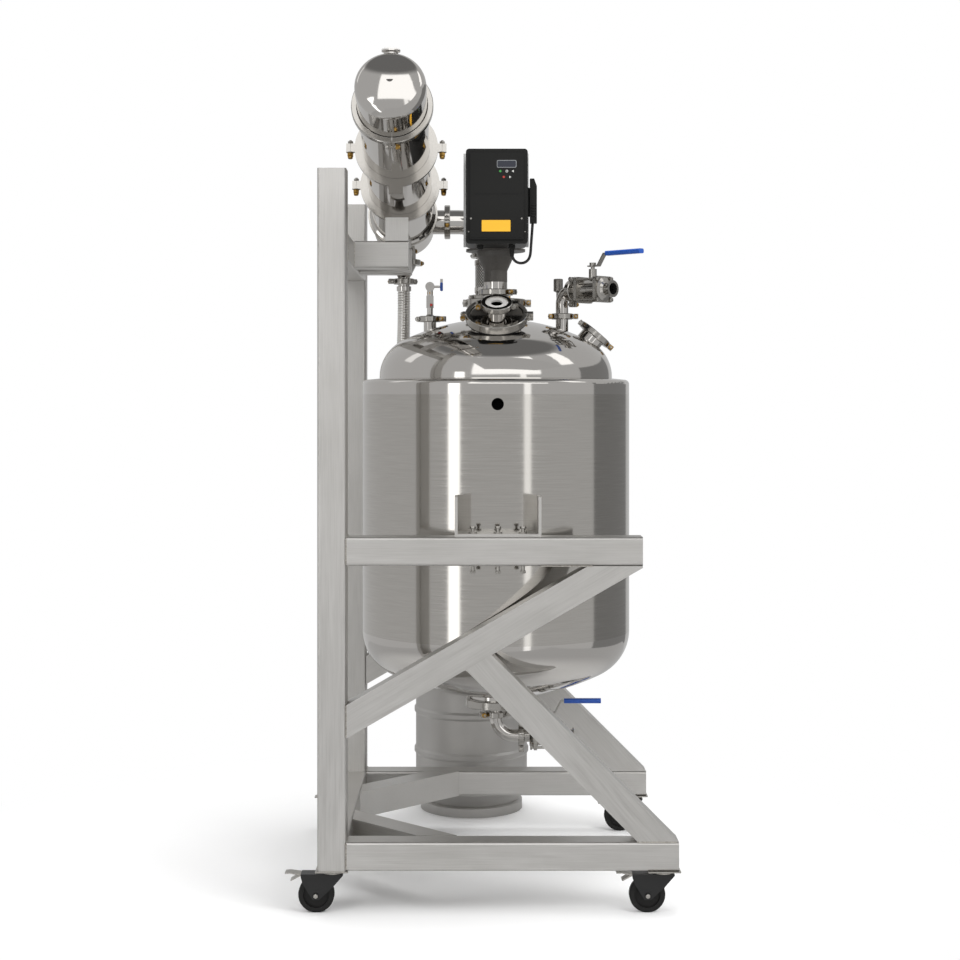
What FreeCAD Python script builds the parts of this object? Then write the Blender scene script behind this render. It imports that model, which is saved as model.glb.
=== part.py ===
import FreeCAD, Part
import math
import os
import types
import Sketcher
from FreeCAD import Placement, Rotation, Vector

# Jacketed stainless steel reactor on a caster frame, with its condenser and receiver.
# Millimetres. Origin on the floor under the vessel's axis, +X to the open side of the frame,
# -Y towards the side with the jacket port, +Z up.

os.makedirs("parts", exist_ok=True)
doc = FreeCAD.newDocument("reactor")
sheet = doc.addObject("Spreadsheet::Sheet", "sizes")


# Sizes

class Formula:
    """A size that keeps its value together with the sheet formula it comes from."""

    def __init__(self, text, value):
        self.text = text
        self.value = float(value)

    def __add__(self, other):
        other = formula(other)
        return Formula(f"({self.text} + {other.text})", self.value + other.value)

    def __sub__(self, other):
        other = formula(other)
        return Formula(f"({self.text} - {other.text})", self.value - other.value)

    def __mul__(self, other):
        other = formula(other)
        return Formula(f"({self.text} * {other.text})", self.value * other.value)

    def __truediv__(self, other):
        other = formula(other)
        return Formula(f"({self.text} / {other.text})", self.value / other.value)

    def __neg__(self):
        return Formula(f"(-1 * {self.text})", -self.value)

    __radd__ = __add__
    __rmul__ = __mul__

    def __rsub__(self, other):
        return formula(other) - self

    def __rtruediv__(self, other):
        return formula(other) / self


def formula(thing):
    return thing if isinstance(thing, Formula) else Formula(f"({float(thing)!r})", thing)


def root(thing):
    return Formula(f"sqrt({thing.text})", math.sqrt(thing.value))


def sine(angle):
    return Formula(f"sin({angle.text} * 1 deg)", math.sin(math.radians(angle.value)))


def cosine(angle):
    return Formula(f"cos({angle.text} * 1 deg)", math.cos(math.radians(angle.value)))


def add_sizes(**values):
    """Put each size in the sheet under its own alias and hand it back as a formula."""
    for name, value in values.items():
        row = len(all_sizes.__dict__) + 1
        sheet.set(f"A{row}", name)
        sheet.set(f"B{row}", str(value))
        sheet.setAlias(f"B{row}", name)
        setattr(all_sizes, name, Formula(f"sizes.{name}", value))


all_sizes = types.SimpleNamespace()
S = all_sizes

# Frame of square tube
add_sizes(
    tube=80,
    tube_wall=3,
    tube_corner=7,
    frame_long=1000,
    frame_wide=1000,
    rail_bottom=122,
    post_top=2065,
    mid_rail_bottom=965,
    mid_rail_end=400,
    brace_foot=488,
    brace_nose=5,
    plan_brace_start=115,
    cross_beam_bottom=1813,
    cap_thick=4,
    arm_end=-260,
    arm_out=165,
    riser_wide=68,
    riser_top=1962,
    riser_thick=10,
)

# Casters
add_sizes(
    wheel_radius=50,
    wheel_wide=30,
    wheel_trail=45,
    axle_radius=6,
    fork_gap=5,
    fork_wall=3,
    fork_front=30,
    fork_back=87,
    fork_hub=9,
    pedal_long=44,
    pedal_wide=34,
    crown_bottom=105,
    crown_thick=4,
    swivel_gap=0.3,
    race_radius=28,
    caster_plate=90,
    caster_plate_thick=4,
    kingpin_radius=6,
    pin_clearance=0.05,
)

# Vessel and jacket
add_sizes(
    jacket_radius=405,
    jacket_wall=3,
    jacket_foot=728,
    jacket_top=1484,
    shoulder_round=14,
    vessel_radius=353,
    vessel_wall=4,
    vessel_top=1490,
    lid_straight=3,
    lid_wall=4,
    head_crown_share=1.809,
    head_knuckle_share=0.3454,
    jacket_port_height=1412,
    jacket_port_out=14,
    seat_gap=0.3,
)

# Support lugs
add_sizes(
    lug_half=120,
    lug_plate=8,
    lug_overhang=8,
    gusset_wide=8,
    gusset_tall=102,
)

# Sanitary tube and ferrule sizes, as radii
add_sizes(
    tube15=19.05,
    face15=25.25,
    tube20=25.4,
    tube25=31.75,
    face25=38.75,
    tube30=38.1,
    face30=45.5,
    tube60=76.2,
    face60=83.5,
    pipe_wall=1.65,
    face_edge=3,
    face_taper=3,
    clamp_wall=8,
    clamp_half=9,
    wide_clamp_half=12,
    clamp_lip=5,
    clamp_play=0.3,
    ear_long=16,
    ear_wide=16,
    ear_slot=4,
)

# Where the lid fittings stand
add_sizes(
    centre_joint=1717,
    neck_radius=35.4,
    neck_joint=1750,
    neck_top=1781,
    front_lean=32,
    front_out=181,
    front_joint=31,
    front_cap_joint=69,
    side_port_x=202,
    side_port_y=0,
    side_joint=1677,
    left_port_x=-200,
    left_joint=1669,
    right_lean=40,
    right_out=285,
    right_joint=26,
    sample_rise=98.6,
    sample_ball_radius=14,
    sample_bore=6,
    sample_stem=3.5,
    sample_reach=31,
    sample_tee_thick=8,
    sample_tee_half=12,
    sample_hex_foot=34,
    sample_hex_top=71,
    sample_hex_across=22,
    gauge_x=194,
    gauge_y=70,
    gauge_stem=6,
    gauge_head=14.5,
    gauge_neck_top=1758,
    gauge_top=1796,
    vapour_joint=1745,
)

# Stirrer drive
add_sizes(
    adapter_foot=1815,
    adapter_waist=55,
    adapter_radius=58,
    adapter_top=1874,
    motor_flange=90,
    motor_flange_thick=7,
    motor_radius=57,
    motor_top=2120,
    box_half=90,
    box_front=-250,
    box_back=-94,
    box_bottom=1877,
    box_top=2153,
    box_round=10,
    panel_inset=12,
    panel_out=6,
    sink_half=97.5,
    sink_thick=26,
    sink_bottom=1882,
    sink_top=2160,
    gland_radius=10,
    gland_long=12,
    gland_left=-48,
    gland_right=45,
    gland_back=60,
    plug_left=98,
    plug_right=118,
    plug_bottom=1942,
    plug_top=2072,
    plug_thick=30,
)

# Ball valves
add_sizes(
    valve_half=80,
    valve_body=35,
    valve_barrel=30,
    valve_bore=17.4,
    gland_boss=12,
    boss_top=62,
    stem_radius=6,
    lever_bottom=69,
    lever_thick=4,
    lever_end_wide=16,
    grip_start=56,
    grip_end=188,
    outlet_grip_start=50,
    outlet_grip_end=162,
    grip_height=106,
    grip_thick=14,
    grip_wide=22,
    valve_turn=-45,
    valve_axis=1753,
    elbow_radius=57,
    top_elbow_radius=38,
)

# Condenser and vapour line
add_sizes(
    condenser_x=-288,
    condenser_radius=95.5,
    condenser_wall=2,
    condenser_tilt=16.5,
    condenser_y=-80,
    condenser_z=2067,
    near_joint_at=535,
    saddle_at=265,
    far_joint_at=-229,
    condenser_face=102.5,
    condenser_clamp_wall=9,
    condenser_band_wall=6,
    saddle_radius=119,
    saddle_wide=8,
    saddle_tab=40,
    saddle_tab_end=141,
    spool_long=110,
    near_spool=115,
    top_port_at=612,
    top_port_joint=2355,
    vapour_y=200,
    drain_y=224,
    vapour_clamp_x=-150,
    riser_x=-20,
    vapour_bend=92,
    vapour_drop=13,
    collar_long=32,
    drain_joint=1858,
    drain_reducer=1798,
    hose_radius=21,
    braid_radius=42,
)

# Receiver and bottom outlet
add_sizes(
    receiver_x=-74,
    receiver_y=798,
    receiver_radius=194,
    receiver_rib=5,
    receiver_tall=532,
    chime_radius=177,
    chime_tall=38,
    receiver_wall=2,
    outlet_joint=504,
    outlet_axis=401,
    outlet_small_joint=467,
    outlet_valve_x=158,
)


# Ways of making a piece

def plane_of(body, role):
    for item in body.Origin.OriginFeatures:
        if item.Role == role:
            return item


def new_body(label):
    body = doc.addObject("PartDesign::Body", "body")
    body.Label = label
    return body


def draw(body, plane, points, arcs=None, height=None):
    """Sketch one closed loop; arcs gives a bowed side's radius and the side its centre is on."""
    arcs = arcs or {}
    sketch = body.newObject("Sketcher::SketchObject", "sketch")
    sketch.AttachmentSupport = [(plane_of(body, plane), "")]
    sketch.MapMode = "FlatFace"
    if height is not None:
        sketch.setExpression("AttachmentOffset.Base.z", formula(height).text)
    add_loop(sketch, points, arcs)
    return sketch


def add_loop(sketch, points, arcs=None):
    arcs = arcs or {}
    corners = [(formula(x), formula(y)) for x, y in points]
    ends = []
    for index, (x, y) in enumerate(corners):
        nx, ny = corners[(index + 1) % len(corners)]
        start = Vector(x.value, y.value, 0)
        stop = Vector(nx.value, ny.value, 0)
        if index in arcs:
            radius, side = arcs[index]
            radius = formula(radius)
            chord = stop - start
            rise = math.sqrt(max(radius.value**2 - (chord.Length / 2) ** 2, 0))
            across = Vector(-chord.y, chord.x, 0).normalize()
            centre = (start + stop) / 2 + across * rise * side
            a = math.atan2(start.y - centre.y, start.x - centre.x)
            b = math.atan2(stop.y - centre.y, stop.x - centre.x)
            circle = Part.Circle(centre, Vector(0, 0, 1), radius.value)
            if side > 0:
                geo = sketch.addGeometry(Part.ArcOfCircle(circle, a, b), False)
                ends.append((geo, 1, 2))
            else:
                geo = sketch.addGeometry(Part.ArcOfCircle(circle, b, a), False)
                ends.append((geo, 2, 1))
        else:
            geo = sketch.addGeometry(Part.LineSegment(start, stop), False)
            ends.append((geo, 1, 2))
    for index, (geo, first, last) in enumerate(ends):
        after = ends[(index + 1) % len(ends)]
        sketch.addConstraint(Sketcher.Constraint("Coincident", geo, last, after[0], after[1]))
    for index, (geo, first, last) in enumerate(ends):
        for kind, value in zip(("DistanceX", "DistanceY"), corners[index]):
            place = sketch.addConstraint(Sketcher.Constraint(kind, -1, 1, geo, first, value.value))
            sketch.setExpression(f"Constraints[{place}]", value.text)
        if index in arcs:
            radius = formula(arcs[index][0])
            place = sketch.addConstraint(Sketcher.Constraint("Radius", geo, radius.value))
            sketch.setExpression(f"Constraints[{place}]", radius.text)


def feature(body, kind, sketch, **settings):
    """Add a sketch-based feature; formulas are bound, other settings are set as they are."""
    made = body.newObject(f"PartDesign::{kind}", kind.lower())
    made.Profile = sketch
    for name, value in settings.items():
        if isinstance(value, Formula):
            made.setExpression(name, value.text)
        else:
            setattr(made, name, value)
    return made


def pad(body, sketch, length, both=False, back=False):
    return feature(body, "Pad", sketch, Length=formula(length), Midplane=both, Reversed=back)


def pocket(body, sketch, length, both=False, back=False):
    return feature(body, "Pocket", sketch, Length=formula(length), Midplane=both, Reversed=back)


def turned(label, points, arcs=None):
    """A round piece: a half section in radius and height, turned about the upright axis."""
    body = new_body(label)
    sketch = draw(body, "XZ_Plane", points, arcs)
    feature(body, "Revolution", sketch, ReferenceAxis=(sketch, ["V_Axis"]), Angle=360)
    return body


def round_edges(body, radius, wanted):
    """Fillet the edges of the body's last feature that the test picks out."""
    doc.recompute()
    tip = body.Tip
    names = [f"Edge{n + 1}" for n, edge in enumerate(tip.Shape.Edges) if wanted(edge)]
    fillet = body.newObject("PartDesign::Fillet", "fillet")
    fillet.Base = (tip, names)
    fillet.setExpression("Radius", formula(radius).text)
    tip.Visibility = False
    return fillet


def runs_along(edge, direction, slack=1e-4):
    if edge.Curve.TypeId != "Part::GeomLine":
        return False
    line = edge.Vertexes[1].Point - edge.Vertexes[0].Point
    return line.Length > 1 and abs(abs(line.normalize().dot(direction)) - 1) < slack


def put(piece, x=0, y=0, z=0, up=(0, 0, 1), ahead=(1, 0, 0)):
    """Stand a piece at a point, its own Z along up and its own X as near ahead as it can be."""
    zdir = Vector(*up).normalize()
    xdir = Vector(*ahead).normalize()
    if zdir.cross(xdir).Length < 1e-6:
        xdir = Vector(0, 0, 1)
    ydir = zdir.cross(xdir).normalize()
    turn = Rotation(ydir.cross(zdir), ydir, zdir, "ZXY")
    place = [formula(value) for value in (x, y, z)]
    piece.Placement = Placement(Vector(*[value.value for value in place]), turn)
    for axis, value in zip("xyz", place):
        piece.setExpression(f"Placement.Base.{axis}", value.text)
    return piece


def mirrored(piece):
    """The same piece on the other side of the vessel's middle plane."""
    twin = doc.addObject("Part::Mirroring", "twin")
    twin.Source = piece
    twin.Normal = Vector(0, 1, 0)
    twin.Base = Vector(0, 0, 0)
    twin.Label = piece.Label + "_twin"
    return twin


def together(label, pieces):
    group = doc.addObject("Part::Compound", "group")
    group.Links = pieces
    group.Label = label
    return group


def cut(label, base, tool):
    result = doc.addObject("Part::Cut", "cut")
    result.Base = base
    result.Tool = tool
    result.Label = label
    return result


def fused(label, pieces):
    result = doc.addObject("Part::MultiFuse", "fuse")
    result.Shapes = pieces
    result.Label = label
    return result


def rod(radius, length):
    made = doc.addObject("Part::Cylinder", "rod")
    made.setExpression("Radius", formula(radius).text)
    made.setExpression("Height", formula(length).text)
    return made


def block(x0, x1, y0, y1, z0, z1):
    """A plain block between two corners."""
    made = doc.addObject("Part::Box", "block")
    low = [formula(value) for value in (x0, y0, z0)]
    high = [formula(value) for value in (x1, y1, z1)]
    for name, a, b in zip(("Length", "Width", "Height"), low, high):
        made.setExpression(name, (b - a).text)
    put(made, *low)
    return made


nodes = []


def node(piece, label=None):
    """Hand a finished piece in under its own name."""
    if label:
        piece.Label = label
    nodes.append(piece)
    return piece


# Square tube of the frame

def square_tube(label, length, closed_start=False, closed_end=False):
    """A length of square tube along its own Z, with a welded cap at an end that shows."""
    body = new_body(label)
    half = S.tube / 2
    inner = half - S.tube_wall
    sketch = draw(body, "XY_Plane", [(-half, -half), (half, -half), (half, half), (-half, half)])
    pad(body, sketch, length)
    round_edges(body, S.tube_corner, lambda edge: runs_along(edge, Vector(0, 0, 1)))
    start = S.cap_thick if closed_start else formula(0)
    depth = length - start - (S.cap_thick if closed_end else 0)
    hollow = draw(body, "XY_Plane", [(-inner, -inner), (inner, -inner), (inner, inner), (-inner, inner)],
                  height=start)
    pocket(body, hollow, depth, back=True)
    return body


def flat_tube(label, outline, inside, plane="XZ_Plane", height=0):
    """A mitred length of square tube: its side view padded to the tube's width and then hollowed."""
    body = new_body(label)
    side = draw(body, plane, outline, height=height)
    pad(body, side, S.tube, both=True)
    hollow = draw(body, plane, inside, height=height)
    pocket(body, hollow, S.tube - 2 * S.tube_wall, both=True)
    return body


half_tube = S.tube / 2
rail_y = S.frame_wide / 2 - half_tube
post_x = -S.frame_long / 2 + half_tube
post_face = -S.frame_long / 2 + S.tube
inner_y = S.frame_wide / 2 - S.tube
base_top = S.rail_bottom + S.tube

post = square_tube("post", S.post_top - S.rail_bottom, closed_start=True, closed_end=True)
put(post, post_x, -rail_y, S.rail_bottom)
node(together("posts", [post, mirrored(post)]))

base_rail = square_tube("base_rail", S.frame_long / 2 - post_face, closed_end=True)
put(base_rail, post_face, -rail_y, S.rail_bottom + half_tube, up=(1, 0, 0), ahead=(0, 1, 0))
node(together("base_rails", [base_rail, mirrored(base_rail)]))

rear_beam = square_tube("rear_base_beam", 2 * inner_y)
put(rear_beam, post_x, -inner_y, S.rail_bottom + half_tube, up=(0, 1, 0), ahead=(1, 0, 0))
node(rear_beam)

mid_rail = square_tube("mid_rail", S.mid_rail_end - post_face, closed_end=True)
put(mid_rail, post_face, -rail_y, S.mid_rail_bottom + half_tube, up=(1, 0, 0), ahead=(0, 1, 0))
node(together("mid_rails", [mid_rail, mirrored(mid_rail)]))

cross_beam = square_tube("upper_cross_beam", 2 * inner_y)
put(cross_beam, post_x, -inner_y, S.cross_beam_bottom + half_tube, up=(0, 1, 0), ahead=(1, 0, 0))
node(cross_beam)

# The long brace climbs from the post to the free end of the mid rail.
brace_run = S.mid_rail_end - post_face
brace_slope = (S.mid_rail_bottom - S.brace_nose - S.brace_foot) / brace_run
brace_spread = root(brace_slope * brace_slope + 1)
brace_tall = S.tube * brace_spread
brace_skin = S.tube_wall * brace_spread


def brace_line(x, above):
    """Height of a line along the long brace, measured above its lower edge."""
    return S.brace_foot + above + brace_slope * (x - post_face)


brace_meets_rail = post_face + (S.mid_rail_bottom - S.brace_foot - brace_tall) / brace_slope
long_outline = [
    (post_face, S.brace_foot),
    (S.mid_rail_end, S.mid_rail_bottom - S.brace_nose),
    (S.mid_rail_end, S.mid_rail_bottom),
    (brace_meets_rail, S.mid_rail_bottom),
    (post_face, S.brace_foot + brace_tall),
]
past = S.tube
long_inside = [
    (post_face - past, brace_line(post_face - past, brace_skin)),
    (S.mid_rail_end + past, brace_line(S.mid_rail_end + past, brace_skin)),
    (S.mid_rail_end + past, brace_line(S.mid_rail_end + past, brace_tall - brace_skin)),
    (post_face - past, brace_line(post_face - past, brace_tall - brace_skin)),
]
long_brace = flat_tube("long_brace", long_outline, long_inside)
put(long_brace, 0, -rail_y, 0)
node(together("long_braces", [long_brace, mirrored(long_brace)]))

# The short brace stands at 45 degrees between the base rail's free end and the long brace.
front_end = S.frame_long / 2
short_wide = S.tube * math.sqrt(2)
short_skin = S.tube_wall * math.sqrt(2)


def short_top(reach):
    """Where a 45 degree line from the base rail, reach back from its end, meets the long brace."""
    x = (base_top + front_end - reach - S.brace_foot + brace_slope * post_face) / (brace_slope + 1)
    return (x, base_top + front_end - reach - x)


short_outline = [(front_end, base_top), short_top(formula(0)), short_top(short_wide),
                 (front_end - short_wide, base_top)]
short_inside = [
    (front_end - short_skin + past, base_top - past),
    (front_end - short_skin - 8 * past, base_top + 8 * past),
    (front_end - short_wide + short_skin - 8 * past, base_top + 8 * past),
    (front_end - short_wide + short_skin + past, base_top - past),
]
short_brace = flat_tube("short_brace", short_outline, short_inside)
put(short_brace, 0, -rail_y, 0)
node(together("short_braces", [short_brace, mirrored(short_brace)]))

# Two braces in plan stiffen the base between the rear beam and the side rails.
plan_run = inner_y - S.plan_brace_start
plan_inner = [
    (post_face, -S.plan_brace_start),
    (post_face, -S.plan_brace_start - short_wide),
    (post_face + plan_run - short_wide, -inner_y),
    (post_face + plan_run, -inner_y),
]
plan_hollow = [
    (post_face - past, -S.plan_brace_start - short_skin + past),
    (post_face - past, -S.plan_brace_start - short_wide + short_skin + past),
    (post_face + plan_run + past - short_wide + short_skin, -inner_y - past),
    (post_face + plan_run + past - short_skin, -inner_y - past),
]
plan_brace = flat_tube("plan_brace", plan_inner, plan_hollow, plane="XY_Plane")
put(plan_brace, 0, 0, S.rail_bottom + half_tube)
node(together("base_corner_braces", [plan_brace, mirrored(plan_brace)]))

# Two arms reach out under the condenser; the near one has an upright plate before its saddle.
arm = square_tube("arm", S.arm_end - post_face, closed_end=True)
put(arm, post_face, -S.arm_out + half_tube, S.cross_beam_bottom + half_tube, up=(1, 0, 0), ahead=(0, 1, 0))
node(together("condenser_arms", [arm, mirrored(arm)]))


# Casters: a fixed plate with its race, a pressed fork that swivels, and a wheel

caster_spots = {
    "near_rear": (post_x, -rail_y),
    "near_front": (front_end - half_tube, -rail_y),
    "far_rear": (post_x, rail_y),
    "far_front": (front_end - half_tube, rail_y),
}
crown_top = S.crown_bottom + S.crown_thick
race_bottom = crown_top + S.swivel_gap
plate_bottom = S.rail_bottom - S.caster_plate_thick
leg_inner = S.wheel_wide / 2 + S.fork_gap
leg_outer = leg_inner + S.fork_wall
axle_z = S.wheel_radius
axle_x = -S.wheel_trail


def caster_mount(x, y):
    """Plate under the rail, race ring and the kingpin with its head under the crown."""
    half = S.caster_plate / 2
    plate = block(-half, half, -half, half, plate_bottom, S.rail_bottom)
    pin_head = S.crown_bottom - S.swivel_gap
    race = turned("race", [
        (0, pin_head - 4), (S.kingpin_radius + 4, pin_head - 4), (S.kingpin_radius + 4, pin_head),
        (S.kingpin_radius, pin_head), (S.kingpin_radius, race_bottom), (S.race_radius, race_bottom),
        (S.race_radius - 3, plate_bottom), (0, plate_bottom),
    ])
    mount = fused("mount", [plate, race])
    return put(mount, x, y, 0)


def caster_fork(label, x, y):
    """Crown with a kingpin hole, two legs that slope back to the axle, and the axle itself."""
    body = new_body(label)
    leg = [
        (S.fork_front, crown_top),
        (S.fork_front, S.crown_bottom),
        (axle_x + S.wheel_trail + 1, S.crown_bottom - 33),
        (axle_x + S.fork_hub, axle_z - 12),
        (axle_x - S.fork_hub, axle_z - 12),
        (-S.fork_back + 5, S.crown_bottom - 22),
        (-S.fork_back, S.crown_bottom - 3),
        (-S.fork_back, crown_top),
    ]
    side = draw(body, "XZ_Plane", leg)
    pad(body, side, leg_outer * 2, both=True)
    low = S.crown_bottom - 80
    gap = draw(body, "XZ_Plane", [
        (-200, low), (200, low), (200, S.crown_bottom), (-200, S.crown_bottom),
    ])
    pocket(body, gap, leg_inner * 2, both=True)
    hole_radius = S.kingpin_radius + S.pin_clearance
    hole = body.newObject("Sketcher::SketchObject", "sketch")
    hole.AttachmentSupport = [(plane_of(body, "XY_Plane"), "")]
    hole.MapMode = "FlatFace"
    hole.setExpression("AttachmentOffset.Base.z", S.crown_bottom.text)
    hole.addGeometry(Part.Circle(Vector(0, 0, 0), Vector(0, 0, 1), hole_radius.value), False)
    hole.addConstraint(Sketcher.Constraint("Coincident", 0, 3, -1, 1))
    size = hole.addConstraint(Sketcher.Constraint("Radius", 0, hole_radius.value))
    hole.setExpression(f"Constraints[{size}]", hole_radius.text)
    pocket(body, hole, S.crown_thick, back=True)
    axle = body.newObject("Sketcher::SketchObject", "sketch")
    axle.AttachmentSupport = [(plane_of(body, "XZ_Plane"), "")]
    axle.MapMode = "FlatFace"
    axle.addGeometry(Part.Circle(Vector(axle_x.value, axle_z.value, 0), Vector(0, 0, 1),
                                 S.axle_radius.value), False)
    for kind, value in (("DistanceX", axle_x), ("DistanceY", axle_z)):
        place = axle.addConstraint(Sketcher.Constraint(kind, -1, 1, 0, 3, value.value))
        axle.setExpression(f"Constraints[{place}]", value.text)
    size = axle.addConstraint(Sketcher.Constraint("Radius", 0, S.axle_radius.value))
    axle.setExpression(f"Constraints[{size}]", S.axle_radius.text)
    pad(body, axle, leg_outer * 2 + 8, both=True)
    return put(body, x, y, 0)


def caster_wheel(label, x, y):
    """Solid wheel with a recessed disc and a rounded tread, turning on the axle."""
    half = S.wheel_wide / 2
    bore = S.axle_radius + S.pin_clearance
    rim = S.wheel_radius - 14
    hub = S.axle_radius + 9
    wheel = turned(label, [
        (bore, -half), (hub, -half), (hub, -half + 8), (rim, -half + 8), (rim, -half + 1),
        (S.wheel_radius - 4, -half + 1), (S.wheel_radius, -half + 5), (S.wheel_radius, half - 5),
        (S.wheel_radius - 4, half - 1), (rim, half - 1), (rim, half - 8), (hub, half - 8),
        (hub, half), (bore, half),
    ])
    return put(wheel, x + axle_x, y, axle_z, up=(0, 1, 0), ahead=(1, 0, 0))


def brake_pedal(label, x, y):
    """Bent lock pedal that comes out behind the fork's crown."""
    body = new_body(label)
    back = -S.fork_back - S.seat_gap
    tip = back - S.pedal_long
    strip = draw(body, "XZ_Plane", [
        (back, crown_top - 6), (back, crown_top), (tip + 14, crown_top + 4), (tip, crown_top + 3),
        (tip, crown_top),
        (tip + 14, crown_top + 1), (back - 6, crown_top - 4), (tip + 15, crown_top - 18),
        (tip + 17, crown_top - 20),
    ])
    pad(body, strip, S.pedal_wide, both=True)
    return put(body, x, y, 0)


node(together("caster_mounts", [caster_mount(x, y) for x, y in caster_spots.values()]))
for name, (x, y) in caster_spots.items():
    node(caster_fork(f"{name}_fork", x, y))
    node(caster_wheel(f"{name}_wheel", x, y))
    node(brake_pedal(f"{name}_pedal", x, y))


# Vessel, lid and jacket

def head_shape(radius, wall, foot, hole, up=1):
    """Section of a dished head: outer crown and knuckle, then the inner ones, with a centre hole.

    Returns the outer arc's points, the inner arc's points and their radii, from rim to middle.
    """
    crown = radius * S.head_crown_share
    knuckle = radius * S.head_knuckle_share
    side = radius - knuckle
    drop = root((crown - knuckle) * (crown - knuckle) - side * side)
    centre = foot - drop * up

    def point(r, size):
        return (r, centre + root(size * size - r * r) * up)

    share = crown / (crown - knuckle)
    touch = (side * share, centre + drop * share * up)
    thin = (crown - wall) / (crown - knuckle)
    touch_in = (side * thin, centre + drop * thin * up)
    outer = [(radius, foot), touch, point(formula(hole), crown)]
    inner = [point(formula(hole), crown - wall), touch_in, (radius - wall, foot)]
    return outer, inner, (knuckle, crown, crown - wall, knuckle - wall)


def dished(label, radius, wall, foot, hole, up=1, straight=0):
    """A dished head as a shell, with a straight flange below or above its rim."""
    outer, inner, radii = head_shape(radius, wall, foot, hole, up)
    points = outer + inner
    arcs = {0: (radii[0], up), 1: (radii[1], up), 3: (radii[2], -up), 4: (radii[3], -up)}
    if straight:
        rim = foot - formula(straight) * up
        points = points + [(radius - wall, rim), (radius, rim)]
    return turned(label, points, arcs)


def dome(label, radius, foot, up=1):
    """The same head as a solid, for cutting the feet of what stands on it."""
    outer, _, radii = head_shape(radius, formula(0), foot, 0, up)
    points = outer + [(0, foot)]
    return turned(label, points, {0: (radii[0], up), 1: (radii[1], up)})


lid_foot = S.vessel_top + S.lid_straight
outlet_bore = S.tube60 - S.pipe_wall

vessel_outer, vessel_inner, vessel_radii = head_shape(S.vessel_radius, S.vessel_wall, S.jacket_foot,
                                                      outlet_bore, -1)
vessel = turned("vessel_shell", [
    (S.vessel_radius, S.vessel_top)] + vessel_outer + vessel_inner + [(S.vessel_radius - S.vessel_wall,
            S.vessel_top),
], {1: (vessel_radii[0], -1), 2: (vessel_radii[1], -1), 4: (vessel_radii[2], 1), 5: (vessel_radii[3], 1)})
node(vessel)

shoulder_r = S.jacket_radius - S.shoulder_round
jacket_in = S.jacket_radius - S.jacket_wall
neck_hole = S.vessel_radius + S.seat_gap
jacket_shell = turned("jacket_body", [
    (S.jacket_radius, S.jacket_foot),
    (S.jacket_radius, S.jacket_top - S.shoulder_round),
    (shoulder_r, S.jacket_top),
    (neck_hole, S.jacket_top + 4),
    (neck_hole, S.jacket_top + 4 - S.jacket_wall),
    (shoulder_r, S.jacket_top - S.jacket_wall),
    (jacket_in, S.jacket_top - S.shoulder_round),
    (jacket_in, S.jacket_foot),
], {1: (S.shoulder_round, 1), 5: (S.shoulder_round - S.jacket_wall, -1)})
port_bore = put(rod(S.tube15 - S.pipe_wall, 2 * S.jacket_radius), 0, 0, S.jacket_port_height, up=(0, -1, 0))
jacket_cut = cut("jacket_cut", jacket_shell, port_bore)

jacket_hole = S.tube60 + S.seat_gap
node(dished("jacket_bottom_head", S.jacket_radius, S.jacket_wall, S.jacket_foot, jacket_hole, up=-1))

jacket_core = rod(S.jacket_radius, S.jacket_top)
port_tube = turned("port_tube", [
    (S.tube15 - S.pipe_wall, S.jacket_radius - 20), (S.tube15, S.jacket_radius - 20),
    (S.tube15, S.jacket_radius + S.jacket_port_out),
    (S.tube15 - S.pipe_wall, S.jacket_radius + S.jacket_port_out),
])
put(port_tube, 0, 0, S.jacket_port_height, up=(0, -1, 0))
jacket_skin = rod(jacket_in, S.jacket_top)
node(fused("jacket_shell", [jacket_cut, cut("jacket_port", port_tube, jacket_skin)]))

# Lugs carry the jacket on the two mid rails.
rail_top = S.mid_rail_bottom + S.tube
lug_far = S.frame_wide / 2 - S.lug_overhang
lug_near = S.jacket_radius * 0.9
lug_plate = block(-S.lug_half, S.lug_half, -lug_far, -lug_near, rail_top, rail_top + S.lug_plate)
gussets = [
    block(a, a + S.gusset_wide, -lug_far, -lug_near, rail_top + S.lug_plate,
          rail_top + S.lug_plate + S.gusset_tall)
    for a in (-S.lug_half, S.lug_half - S.gusset_wide)
]
lug = cut("lug", fused("lug_blank", [lug_plate] + gussets), jacket_core)
node(together("support_lugs", [lug, mirrored(lug)]))


# Ferrules and clamps

def half_joint(radius, face, wall=None):
    """Points up one ferrule, from the tube's wall to the joint face at height zero."""
    wall = wall or S.pipe_wall
    return [(radius, -S.face_edge - S.face_taper), (face, -S.face_edge), (face, 0), (radius - wall, 0)]


def ferrule(label, radius, face, foot, wall=None):
    """A stub of tube that ends in a ferrule at its own origin, its foot below."""
    wall = wall or S.pipe_wall
    return turned(label, [(radius - wall, -foot), (radius, -foot)] + half_joint(radius, face, wall))


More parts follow.
